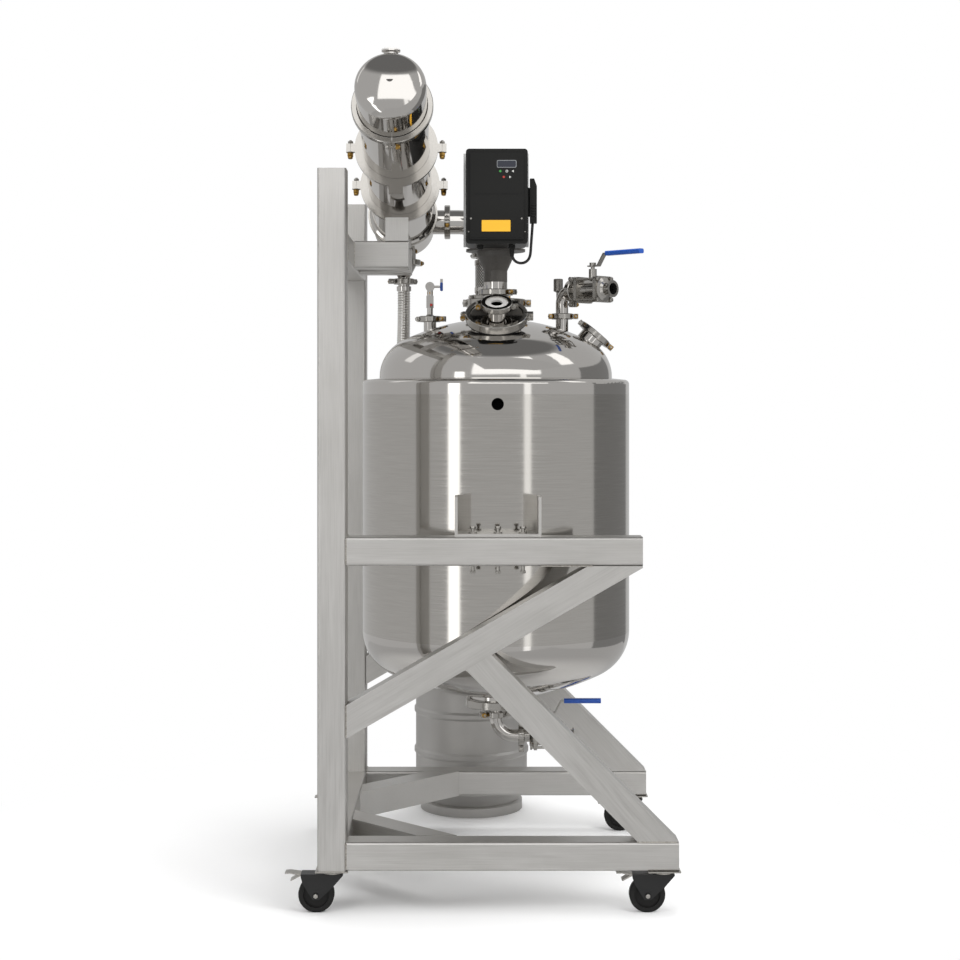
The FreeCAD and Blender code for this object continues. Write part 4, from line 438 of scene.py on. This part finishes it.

# Vessel wall: polished above the jacket, and painted black inside it as the shade that the open port shows.
vessel_wall, tree, shader = new_material("vessel_wall_steel_and_painted_shade", "#c9c6c2", 1, 0.07)
wall_height = add(tree, "ShaderNodeSeparateXYZ", Vector=object_place(tree)).outputs[2]
inside_jacket = ease(tree, wall_height, 1.452, 1.448)
tint(tree, shader, inside_jacket, "#c9c6c2", "#0b0b0b")
spread(tree, shader, inside_jacket, 0.07, 0.85)
metal = add(tree, "ShaderNodeMapRange", Value=inside_jacket, i3=1, i4=0).outputs[0]
tree.links.new(metal, shader.inputs["Metallic"])
dress(vessel_wall, "vessel_shell")


def ring_band(bm, centre, up, inner, outer, tall, sides=72):
    """A flat ring about a direction, spun from a small rectangle."""
    section = ((inner, 0, -tall / 2), (outer, 0, -tall / 2), (outer, 0, tall / 2), (inner, 0, tall / 2))
    corners = [bm.verts.new(point) for point in section]
    face = bm.faces.new(corners)
    bmesh.ops.spin(bm, geom=[face] + list(face.edges) + corners, cent=(0, 0, 0), axis=(0, 0, 1), dvec=(0, 0, 0),
                   angle=math.radians(360), steps=sides, use_merge=True, use_duplicate=False)
    # Vertices of earlier rings in the same mesh are tagged, so only the new ring moves to its place.
    fresh = [v for v in bm.verts if not v.tag]
    bmesh.ops.transform(bm, matrix=Matrix.Translation(Vector(centre)) @ turn_to(up), verts=fresh)
    for vertex in fresh:
        vertex.tag = True
    bmesh.ops.recalc_face_normals(bm, faces=bm.faces)


# A thin black ring inside the port's bore: painted shade where the bore lies in shadow.
bm = bmesh.new()
ring_band(bm, (0, -0.409, 1.412), (0, -1, 0), 0.0168, 0.0173, 0.014, 48)
finish_piece("jacket_port_painted_shade", bm, port_shade, "plant")


# ---------------------------------------------------------------------------------------------------------------
# Sanitary clamps: two-piece cast stainless clamps over each pair of ferrules, hinged on one side. A swing bolt
# passes through the split ear and is drawn up with a brass nut; the hinge side has a pin with a steel head.

# Brass nut: machined from bar, warm yellow with a brown bloom in the corners.
brass_nut, tree, shader = new_material("machined_brass", "#c08a34", 1, 0.28)
bloom = noise(tree, 260)
tint(tree, shader, bloom, "#8a672e", "#c6a15a")
spread(tree, shader, bloom, 0.2, 0.42)
# Cast and tumbled clamp: a shade darker and softer than the polished tube.
cast_clamp, tree, shader = new_material("tumbled_cast_stainless", "#b3b0ab", 1, 0.17)
skin = noise(tree, 150, 3)
relief(tree, shader, skin, 0.15, 0.0005)
spread(tree, shader, skin, 0.12, 0.25)
dress(cast_clamp, "pipe_clamps", "condenser_saddles", "top_valve_body", "outlet_valve_body")
# Blind caps: turned faces, blasted to a pale satin that scatters light, so they look whiter than the polished necks.
turned_satin, tree, shader = new_material("turned_satin_stainless", "#e4e2df", 0.35, 0.42)
spread(tree, shader, noise(tree, 500), 0.36, 0.48)
dress(turned_satin, "port_caps")

bm_steel = bmesh.new()
bm_brass = bmesh.new()


def ring_stack(rings, seat, way):
    """Turned pieces one after another along a line, each with a softened rim."""
    for mesh, sides, radius, tall, at in rings:
        made = rod(mesh, sides, radius, tall, Matrix.Translation(seat + way * at) @ turn_to(way))
        soften(mesh, edges_of(made, way, False), min(radius * 0.15, tall * 0.3))


def clamp_fastener(centre, up, ahead, reach, nut_side=1, brass=True):
    """Swing bolt through a clamp's ear: shank and eye in steel, nut in brass, along the clamp's own rim."""
    up = Vector(up).normalized()
    across = up.cross(Vector(ahead)).normalized()
    outward = across.cross(up).normalized()
    rings = [(bm_steel, 12, 0.0036, 0.040, 0.003), (bm_steel, 16, 0.0066, 0.006, -0.0115),
             (bm_steel, 20, 0.0080, 0.0016, 0.0095)]
    if brass:
        rings += [(bm_brass, 6, 0.0078, 0.0085, 0.0146), (bm_brass, 16, 0.0058, 0.004, 0.0206)]
    else:
        rings += [(bm_steel, 6, 0.0078, 0.0075, 0.0142)]
    ring_stack(rings, Vector(centre) + outward * reach, across * nut_side)


def both_ears(centre, up, ahead, face, nut_side=1, far_brass=False):
    """A clamp's swing bolt and, on its hinge side, the pin."""
    clamp_fastener(centre, up, ahead, face + 0.016, nut_side)
    clamp_fastener(centre, up, -Vector(ahead), face + 0.010, -nut_side, far_brass)


# Ferrule radii, named by the tube's size in tenths of an inch, and the lines that the leaning joints follow.
face15, face25, face30, face60 = 0.02525, 0.03875, 0.0455, 0.0835
lean_front = Vector((0, -0.5299, 0.8480))
lean_right = (0.6428, 0, 0.7660)
turned = Vector((1, -1, 0)).normalized()
tilt_way = Vector((0, -0.9588, 0.2840))
front_joint = Vector((0, -0.1974, 1.6696))
elbow_end = Vector((0.202, 0, 1.753))
condenser_start = Vector((-0.288, -0.080, 2.067))
for joint in (
    ((0, 0, 1.717), (0, 0, 1), (1, 0, 0), face60, -1),
    (front_joint, lean_front, (-1, 0, 0), face60, 1),
    ((0, -0.2176, 1.7018), lean_front, (-1, 0, 0), face25, 1),
    ((0.202, 0, 1.677), (0, 0, 1), (1, 0, 0), face15, -1, True),
    ((-0.200, 0, 1.669), (0, 0, 1), (1, -0.3, 0), face15, -1),
    ((-0.020, 0.200, 1.745), (0, 0, 1), (1, 0, 0), face30, -1),
    ((0.3017, 0, 1.6219), lean_right, (1, 0, -1), face30, -1),
    ((0, 0, 1.750), (0, 0, 1), (1, -0.6, 0), face30, -1),
    (elbow_end + turned * 0.044, turned, (0, 0, -1), face15, 1),
    ((-0.150, 0.200, 1.9841), (1, 0, 0), (0, -1, 0), face30, 1),
    ((-0.020, 0.200, 1.8791), (0, 0, 1), (1, -1, 0), face30, -1),
    ((-0.288, 0.224, 1.858), (0, 0, -1), (1, 1, 0), face30, 1),
    ((-0.288, 0.224, 1.798), (0, 0, -1), (-1, -0.4, 0), face15, 1),
    ((-0.074, 0.798, 0.592), (0, 0, 1), (1, 0, 0), face15, -1),
    ((0, 0, 0.504), (0, 0, 1), (1, -1, 0), face60, -1),
    ((0, 0, 0.467), (0, 0, 1), (-1, -0.3, 0), face15, 1),
    ((0.078, 0, 0.401), (1, 0, 0), (0, 0, -1), face15, 1),
):
    both_ears(*joint)
clamp_fastener(condenser_start + tilt_way * 0.535, tilt_way, (0, 0, -1), 0.1025 + 0.017, 1)

# Condenser saddles: flat steel rings with bolted ears; each ear's bolt hangs down and ends in a brass nut.
down = Vector((0, -0.2840, -0.9588))
for distance in (0, 0.265):
    for side in (-1, 1):
        ring_stack((
            (bm_steel, 6, 0.0085, 0.006, -0.017), (bm_steel, 12, 0.0042, 0.055, 0.004),
            (bm_steel, 20, 0.0095, 0.002, 0.0145), (bm_brass, 6, 0.0092, 0.010, 0.0210),
            (bm_brass, 16, 0.0070, 0.006, 0.0290),
        ), condenser_start + tilt_way * distance + Vector((side * 0.131, 0, 0)), down)
finish_piece("clamp_bolts", bm_steel, zinc_bolt, "plant")
finish_piece("clamp_nuts", bm_brass, brass_nut, "plant")

# Gaskets: a black EPDM ring shows as a thin line between each pair of ferrules of the two wide ports.
epdm, tree, shader = new_material("moulded_epdm", "#1a1a1b", 0, 0.6)
spread(tree, shader, noise(tree, 300), 0.5, 0.75)

bm = bmesh.new()
ring_band(bm, front_joint, lean_front, 0.0745, 0.0838, 0.0012)
ring_band(bm, front_joint - lean_front * 0.0128, lean_front, 0.0785, 0.0905, 0.0014)
ring_band(bm, (0, 0, 1.717), (0, 0, 1), 0.0745, 0.0838, 0.0012)
finish_piece("port_gaskets", bm, epdm, "plant")


# ---------------------------------------------------------------------------------------------------------------
# Ball valves: three-piece stainless valves. Two square end plates are drawn together by four long bolts; the lever
# is bent plate under a nut and carries a blue dipped vinyl sleeve.

def block(bm, matrix, size):
    """A block with square edges, for a caller that softens them."""
    return bmesh.ops.create_cube(bm, size=1, matrix=matrix @ Matrix.Diagonal((*size, 1)))["verts"]


def valve_dressing(centre, way, top, name):
    """Square plates and through bolts of one valve; way is its bore and top points to its lever."""
    way, top = Vector(way).normalized(), Vector(top).normalized()
    turn = Matrix((top.cross(way).normalized(), top, way)).transposed().to_4x4()
    base = Matrix.Translation(Vector(centre)) @ turn
    plate_at, bolt_at = 0.038, 0.0305
    bm = bmesh.new()
    for at in (-plate_at, plate_at):
        made = block(bm, base @ Matrix.Translation((0, 0, at)), (0.078, 0.078, 0.010))
        soften(bm, edges_of(made, way), 0.009, 5)
    for x in (-bolt_at, bolt_at):
        for y in (-bolt_at, bolt_at):
            bolt_along(bm, base @ Vector((x, y, 0)), way, head=0.0075, shank=0.0042, long=0.096, head_tall=0.006,
                       nut_at=0.97)
    finish_piece(name, bm, zinc_bolt, "plant", 30)


top_centre = elbow_end + turned * 0.124
valve_dressing(top_centre, turned, (0, 0, 1), "top_valve_bolts")
valve_dressing((0.158, 0, 0.401), (1, 0, 0), (0, 0, 1), "outlet_valve_bolts")

# Pressed lever plate: bright, lightly rolled stainless.
dress(zinc_bolt, "top_valve_lever", "outlet_valve_lever")
# Dipped vinyl: saturated blue, soft gloss, with slight thickness ripples from dipping.
blue_vinyl, tree, shader = new_material("dipped_blue_vinyl", "#1f4fa8", 0, 0.35)
dip = noise(tree, 70)
relief(tree, shader, dip, 0.2, 0.0006)
tint(tree, shader, dip, "#1b4597", "#2b5dba")
dress(blue_vinyl, "top_valve_grip", "outlet_valve_grip")
# The valve's bore isn't polished either: an open dark lining inside its outlet, painted black as shade.
bm = bmesh.new()
ring_band(bm, top_centre + turned * 0.062, turned, 0.0168, 0.0173, 0.030, 48)
finish_piece("top_valve_bore_painted_shade", bm, port_shade, "plant")


# ---------------------------------------------------------------------------------------------------------------
# Sampling valve and instrument on the lid: a small needle valve in polished bar with a blue T handle, a brass gland
# and a red stop pin; behind the side port stands a gauge body in dark anodised metal.

# Dark anodised aluminium: mid grey with a satin sheen and fine turning marks.
dark_anodised, tree, shader = new_material("dark_anodised_aluminium", "#8a8782", 1, 0.34)
marks = add(tree, "ShaderNodeTexWave", {"bands_direction": "Z"}, Vector=object_place(tree), Scale=420,
            Distortion=1.2).outputs["Fac"]
spread(tree, shader, marks, 0.28, 0.42)
tint(tree, shader, marks, "#7d7a75", "#96938e")
dress(dark_anodised, "lid_instrument")
dress(mirror_steel, "sample_valve")
# Red lacquer on the stop pin: plain, with a soft gloss.
signal_red, tree, shader = new_material("red_lacquer", "#b8322a", 0, 0.35)
spread(tree, shader, noise(tree, 400), 0.28, 0.42)

bm = bmesh.new()
made = block(bm, Matrix.Translation((-0.165, 0, 1.7676)), (0.0086, 0.0135, 0.0262))
soften(bm, edges_of(made), 0.003, 3)
finish_piece("sample_valve_handle", bm, blue_vinyl, "plant", 50)
bm = bmesh.new()
made = rod(bm, 6, 0.0098, 0.009, Matrix.Translation((-0.200, 0, 1.7480)))
soften(bm, edges_of(made), 0.001)
finish_piece("sample_valve_gland", bm, brass_nut, "plant")
bm = bmesh.new()
facing_front = Matrix.Rotation(math.radians(90), 4, "X")
rod(bm, 20, 0.0042, 0.004, Matrix.Translation((-0.196, -0.0125, 1.712)) @ facing_front, 0.0036)
finish_piece("sample_valve_pin", bm, signal_red, "plant")


# ---------------------------------------------------------------------------------------------------------------
# Stirrer drive: a black moulded inverter box with a display and keys, on a finned aluminium heat sink, carried by a
# grey motor on a dark cast adapter. Glands and the plug are black nylon.

# Moulded black ABS: deep satin black with a fine spark-eroded texture, 0.3 mm grain drawn at 0.8 mm.
black_abs, tree, shader = new_material("textured_black_abs", "#1a1a19", 0, 0.40)
grain = noise(tree, 1250)
relief(tree, shader, grain, 0.25, 0.0003)
spread(tree, shader, grain, 0.36, 0.5)
shader.inputs["Specular IOR Level"].default_value = 0.2
dress(black_abs, "drive_box", "cable_glands", "lead_plug")
# Cast iron adapter under warm grey enamel: a slight orange peel, duller than the box.
grey_enamel, tree, shader = new_material("warm_grey_enamel", "#4d4a46", 0, 0.45)
peel = noise(tree, 240)
relief(tree, shader, peel, 0.3, 0.0005)
tint(tree, shader, peel, "#45423f", "#56534e")
dress(grey_enamel, "motor_adapter", "motor")
# Extruded aluminium fins: pale, brushed along the fins by the die.
die_drawn, tree, shader = new_material("extruded_aluminium", "#b9b9b8", 1, 0.35)
lines = add(tree, "ShaderNodeMapping", Vector=object_place(tree), Scale=(900, 900, 12)).outputs[0]
lines = add(tree, "ShaderNodeTexNoise", Vector=lines, Scale=1, Detail=2).outputs["Fac"]
spread(tree, shader, lines, 0.28, 0.46)
dress(die_drawn, "drive_heat_sink")


box_front = -0.256
front_way = Vector((0, 1, 0))


def panel_chip(bm, x, z, wide, tall, thick, round_by=0.0):
    """A thin raised rectangle on the box's front, sunk 0.2 mm into it, its corners rounded."""
    made = block(bm, Matrix.Translation((x, box_front - thick / 2 + 0.0002, z)), (wide, thick, tall))
    if round_by:
        soften(bm, edges_of(made, front_way), round_by, 4)


def panel_key(bm, x, z, radius, sides, turn=0.0):
    """A small raised key or mark, a disc or a triangle, facing the front."""
    place = Matrix.Translation((x, box_front - 0.0002, z)) @ facing_front @ Matrix.Rotation(turn, 4, "Z")
    rod(bm, sides, radius, 0.0009, place)


def plain_finish(name, colour, rough, scale=500):
    """A small moulded or printed part: one colour, its gloss broken up a little."""
    made, tree, shader = new_material(name, colour, 0, rough)
    spread(tree, shader, noise(tree, scale), rough - 0.08, rough + 0.08)
    return made


# Clear polycarbonate over a navy glass, in a pale grey moulded bezel.
bezel = plain_finish("pale_grey_moulding", "#8d9092", 0.4)
glass = plain_finish("navy_display_glass", "#151b2a", 0.14)
# Printed marks in flat ink, and a bare enamelled plate that catches a little more light.
white_mark = plain_finish("white_screen_ink", "#d8d8d4", 0.5)
green_mark = plain_finish("green_screen_ink", "#3f9b46", 0.5)
red_mark = plain_finish("red_screen_ink", "#b23a32", 0.5)
yellow_plate = plain_finish("yellow_enamelled_plate", "#f2b72e", 0.42, scale=220)
for name, finish, thick, wide, tall, round_by in (("drive_display_bezel", bezel, 0.0010, 0.057, 0.022, 0.004),
                                                  ("drive_display_glass", glass, 0.0016, 0.053, 0.018, 0.003)):
    bm = bmesh.new()
    panel_chip(bm, 0.0285, 2.108, wide, tall, thick, round_by)
    finish_piece(name, bm, finish, "plant", 30)
bm = bmesh.new()
ring_band(bm, (0.029, -0.2562, 2.087), (0, -1, 0), 0.0022, 0.0038, 0.0009, 24)
panel_key(bm, 0.047, 2.087, 0.0042, 3, math.radians(90))
panel_key(bm, 0.038, 2.070, 0.0042, 3, math.radians(-90))
finish_piece("drive_white_keys", bm, white_mark, "plant", 30)
for name, finish, x, z in (("drive_green_key", green_mark, 0.010, 2.087), ("drive_red_key", red_mark, 0.020, 2.070)):
    bm = bmesh.new()
    panel_key(bm, x, z, 0.0034, 16)
    finish_piece(name, bm, finish, "plant", 30)
bm = bmesh.new()
panel_chip(bm, -0.00225, 1.9285, 0.0835, 0.033, 0.0010, 0.0015)
finish_piece("drive_blank_plate", bm, yellow_plate, "plant", 30)
# Seams between the covers, and the screws that hold the lower one.
bm = bmesh.new()
panel_chip(bm, 0, 2.021, 0.144, 0.0020, 0.0006)
panel_chip(bm, 0, 1.894, 0.144, 0.0014, 0.0006)
finish_piece("drive_cover_seam", bm, port_shade, "plant", 30)
bm = bmesh.new()
for x, z, radius, y in ((-0.075, 1.9495, 0.0034, -0.2562), (0.072, 1.9495, 0.0034, -0.2562),
                        (-0.082, 1.912, 0.0022, -0.2502), (0.082, 1.912, 0.0022, -0.2502)):
    rod(bm, 20, radius, 0.0016, Matrix.Translation((x, y, z)) @ facing_front, radius * 0.75)
finish_piece("drive_screws", bm, zinc_bolt, "plant")
# Nylon sleeve that tapers on to the lead where it leaves the gland, so that it can't kink.
bm = bmesh.new()
rod(bm, 28, 0.0052, 0.022, Matrix.Translation((0.045, -0.190, 1.855)), 0.0078)
finish_piece("lead_sleeve", bm, black_abs, "plant", 40)
# The plug has a latch over its back and ribs for the thumb.
bm = bmesh.new()
for z in (1.962, 1.970, 1.978, 1.986, 1.994):
    made = block(bm, Matrix.Translation((0.1085, -0.2055, z)), (0.015, 0.002, 0.004))
    soften(bm, edges_of(made), 0.0007)
finish_piece("plug_ribs", bm, black_abs, "plant", 40)


# ---------------------------------------------------------------------------------------------------------------
# Vapour hose: a stainless inner hose under a woven wire braid of 84 mm, crimped into a collar at each end and held
# straight between the lid and the condenser's elbow.

# Wire braid: crossed bundles of bright wire, with painted shade in the grooves between them. Real bundles are 4 mm
# wide; they are drawn at 9 mm so that the weave shows.
wire_braid, tree, shader = new_material("woven_stainless_braid", "#aeaba6", 1, 0.3)
to_hose_axis = (0.020, -0.200, 0)
centred = add(tree, "ShaderNodeMapping", Vector=object_place(tree), Location=to_hose_axis).outputs[0]
parts = add(tree, "ShaderNodeSeparateXYZ", Vector=centred).outputs
turns = reckon(tree, "MULTIPLY", reckon(tree, "ARCTAN2", parts[1], parts[0]), 14.0)
rise = reckon(tree, "MULTIPLY", parts[2], 333.0)
strands = [reckon(tree, "ABSOLUTE", reckon(tree, "SINE", reckon(tree, way, turns, rise)))
           for way in ("ADD", "SUBTRACT")]
woven = ease(tree, reckon(tree, "MULTIPLY", *strands), 0.05, 0.6)
relief(tree, shader, woven, 0.8, 0.002)
# The grooves between the bundles are painted dark as shade.
tint(tree, shader, woven, "#2b2926", "#e9e7e3")
dress(wire_braid, "vapour_hose")


# ---------------------------------------------------------------------------------------------------------------
# Receiver: a deep-drawn stainless keg with rolled ribs and a rolled chime at each end, pickled to an even matt grey.

# Pickled stainless: soft matt grey, faint cloudy patches where the acid ran, no clear reflection.
pickled_steel, tree, shader = new_material("pickled_stainless", "#a3a19d", 1, 0.48)
clouds = noise(tree, 9, 4)
frost = noise(tree, 700)
tint(tree, shader, clouds, "#b2b0ad", "#c4c2bf")
spread(tree, shader, frost, 0.42, 0.56)
relief(tree, shader, frost, 0.08, 0.0003)
dress(pickled_steel, "receiver_shell", "receiver_chimes")


# ---------------------------------------------------------------------------------------------------------------
# Casters: black enamelled forks with bright axle nuts, black wheels with a recessed disc, and zinc-plated top plates,
# swivel races and brake pedals. Each turns under its corner of the base.

# Moulded black polyurethane tread and disc: matt, slightly dusty.
wheel_black, tree, shader = new_material("moulded_black_tread", "#161615", 0, 0.6)
dust = noise(tree, 120, 4)
tint(tree, shader, dust, "#0f0f0e", "#1d1c1b")
spread(tree, shader, dust, 0.5, 0.72)
shader.inputs["Specular IOR Level"].default_value = 0.3
# Black stove enamel on pressed steel: smooth, low gloss.
fork_black, tree, shader = new_material("black_stove_enamel", "#0f0f0f", 0, 0.40)
peel = noise(tree, 300)
relief(tree, shader, peel, 0.15, 0.0004)
spread(tree, shader, peel, 0.3, 0.48)
dress(zinc_bolt, "caster_mounts")
for corner, cx, cy in (("near_rear", -0.46, -0.46), ("near_front", 0.46, -0.46), ("far_rear", -0.46, 0.46),
                       ("far_front", 0.46, 0.46)):
    dress(wheel_black, corner + "_wheel")
    dress(fork_black, corner + "_fork")
    dress(zinc_bolt, corner + "_pedal")
    bm = bmesh.new()
    for side in (-1, 1):
        spot = Matrix.Translation((cx - 0.045, cy + side * 0.0285, 0.050)) @ facing_front
        made = rod(bm, 6, 0.0066, 0.006, spot)
        soften(bm, edges_of(made, front_way, False), 0.001)
    finish_piece(corner + "_axle_nuts", bm, zinc_bolt, corner + "_swivel")


# ---------------------------------------------------------------------------------------------------------------
# Studio: pale seamless floor that keeps a soft shadow, a room of grey walls and white windows that only the metal
# mirrors, and three soft lamps for the floor and the plastics. None of it is part of the object.

def blended(tree, share, first, second):
    """Two shaders mixed by a share."""
    return add(tree, "ShaderNodeMixShader", Fac=share, i1=first, i2=second).outputs[0]


def sheet(name, material, size, matrix=Matrix()):
    """A flat sheet of the studio."""
    bm = bmesh.new()
    bmesh.ops.create_grid(bm, x_segments=1, y_segments=1, size=size, matrix=matrix)
    mesh = bpy.data.meshes.new(name)
    bm.to_mesh(mesh)
    bm.free()
    mesh.materials.append(material)
    made = bpy.data.objects.new(name, mesh)
    scene.collection.objects.link(made)
    return made


# Matt painted floor: nearly white, and white where the camera sees it beyond the shadow.
white = (1, 1, 1, 1)
studio_floor, tree, shader = new_material("matt_white_floor", "#fafafa", 0, 0.85)
tree.nodes.remove(shader)
mirror_view = add(tree, "ShaderNodeLightPath").outputs["Is Glossy Ray"]
dimmer = add(tree, "ShaderNodeMapRange", Value=mirror_view, i3=1.0, i4=0.5).outputs[0]
glow = add(tree, "ShaderNodeEmission", Color=white, Strength=dimmer).outputs[0]
tone = add(tree, "ShaderNodeMixRGB", Fac=mirror_view, Color1=linear("#fbfbfb"), Color2=linear("#d6d6d6")).outputs[0]
paint = add(tree, "ShaderNodeBsdfDiffuse", Color=tone).outputs[0]
middle = add(tree, "ShaderNodeMapping", Vector=object_place(tree), Location=(0.13, -0.03, 0),
             Scale=(0.55, 0.55, 0)).outputs[0]
far = add(tree, "ShaderNodeVectorMath", {"operation": "LENGTH"}, i0=middle).outputs["Value"]
tree.links.new(blended(tree, ease(tree, far, 0.30, 0.92), paint, glow), tree.nodes["Material Output"].inputs[0])
floor = sheet("studio_floor", studio_floor, 2.4)

# Reflector card above the lid: mirrors see its even grey in place of the front window; nothing else sees it.
card_face, tree, shader = new_material("grey_reflector_card", "#808080", 0, 0.9)
tree.nodes.remove(shader)
sheen = add(tree, "ShaderNodeEmission", Color=white, Strength=0.55).outputs[0]
tree.links.new(sheen, tree.nodes["Material Output"].inputs[0])
card = sheet("reflector_card", card_face, 1,
             Matrix.Translation((0.55, -1.36, 2.05)) @ Matrix.Diagonal((0.93, 0.64, 1, 1)))
card.visible_camera = False
card.visible_diffuse = False
card.visible_shadow = False

# Surround: white to the camera, a soft even light to matt surfaces, and to mirrors a room drawn by direction.
world = bpy.data.worlds.new("studio_surround")
world.use_nodes = True
scene.world = world
tree = world.node_tree
tree.nodes.clear()
seen = add(tree, "ShaderNodeLightPath").outputs
toward = add(tree, "ShaderNodeTexCoord").outputs["Generated"]
parts = add(tree, "ShaderNodeSeparateXYZ", Vector=toward).outputs
forward = reckon(tree, "MULTIPLY", parts[1], -1.0)
bearing = reckon(tree, "DEGREES", reckon(tree, "ARCTAN2", parts[0], forward))
# Even walls under a dimmer ceiling, then plain lights, each by its bearings in degrees, its sill and head, and its
# level: two upright strips, a dark flag on the right, and three soft windows. Their edges fade over a short way.
wall_level, ceiling_level, side_fade, sill_fade = 0.58, 0.2, 2, 0.04
room = between(tree, ease(tree, parts[2], 0.76, 0.86), wall_level, ceiling_level)
for low, high, sill, head, light in (
    (-42, -30, -2, 0.2, 2.5), (22, 30, -2, 0.2, 1.5), (90, 150, -2, 0.3, 0.25),
    (70, 90, 0.4, 0.8, 1.7), (-115, -100, 0.4, 0.8, 1.2), (-25, 45, 0.1, 0.8, 1.7),
):
    pane = reckon(tree, "MULTIPLY", ease(tree, bearing, low, low + side_fade),
                  ease(tree, bearing, high, high - side_fade))
    for start, end in ((sill, sill + sill_fade), (head, head - sill_fade)):
        pane = reckon(tree, "MULTIPLY", pane, ease(tree, parts[2], start, end))
    room = between(tree, pane, room, light)
mirrored = reckon(tree, "MAXIMUM", seen["Is Glossy Ray"], seen["Is Transmission Ray"])
lit = add(tree, "ShaderNodeBackground", Color=white, Strength=0.74).outputs[0]
shown = add(tree, "ShaderNodeBackground", Color=white, Strength=1).outputs[0]
room_light = add(tree, "ShaderNodeBackground", Color=white, Strength=room).outputs[0]
surround = blended(tree, seen["Is Camera Ray"], blended(tree, mirrored, lit, room_light), shown)
tree.links.new(surround, add(tree, "ShaderNodeOutputWorld").inputs[0])


def lamp(name, place, aim, size, power):
    """A soft area lamp that points at a spot on the object; mirrors don't show it."""
    data = bpy.data.lights.new(name, "AREA")
    data.shape = "RECTANGLE"
    data.size, data.size_y = size
    data.energy = power
    made = bpy.data.objects.new(name, data)
    made.location = place
    made.rotation_euler = (Vector(aim) - Vector(place)).to_track_quat("-Z", "Y").to_euler()
    made.visible_glossy = False
    scene.collection.objects.link(made)


lamp("key_lamp", (2.6, -2.6, 3.8), (0, 0, 0.8), (2.0, 2.4), 90)
lamp("fill_lamp", (-2.8, -3.0, 2.6), (0, 0, 1.0), (1.6, 2.6), 35)
lamp("top_lamp", (0.3, 0.2, 5.2), (0, 0, 1.0), (2.8, 2.8), 110)
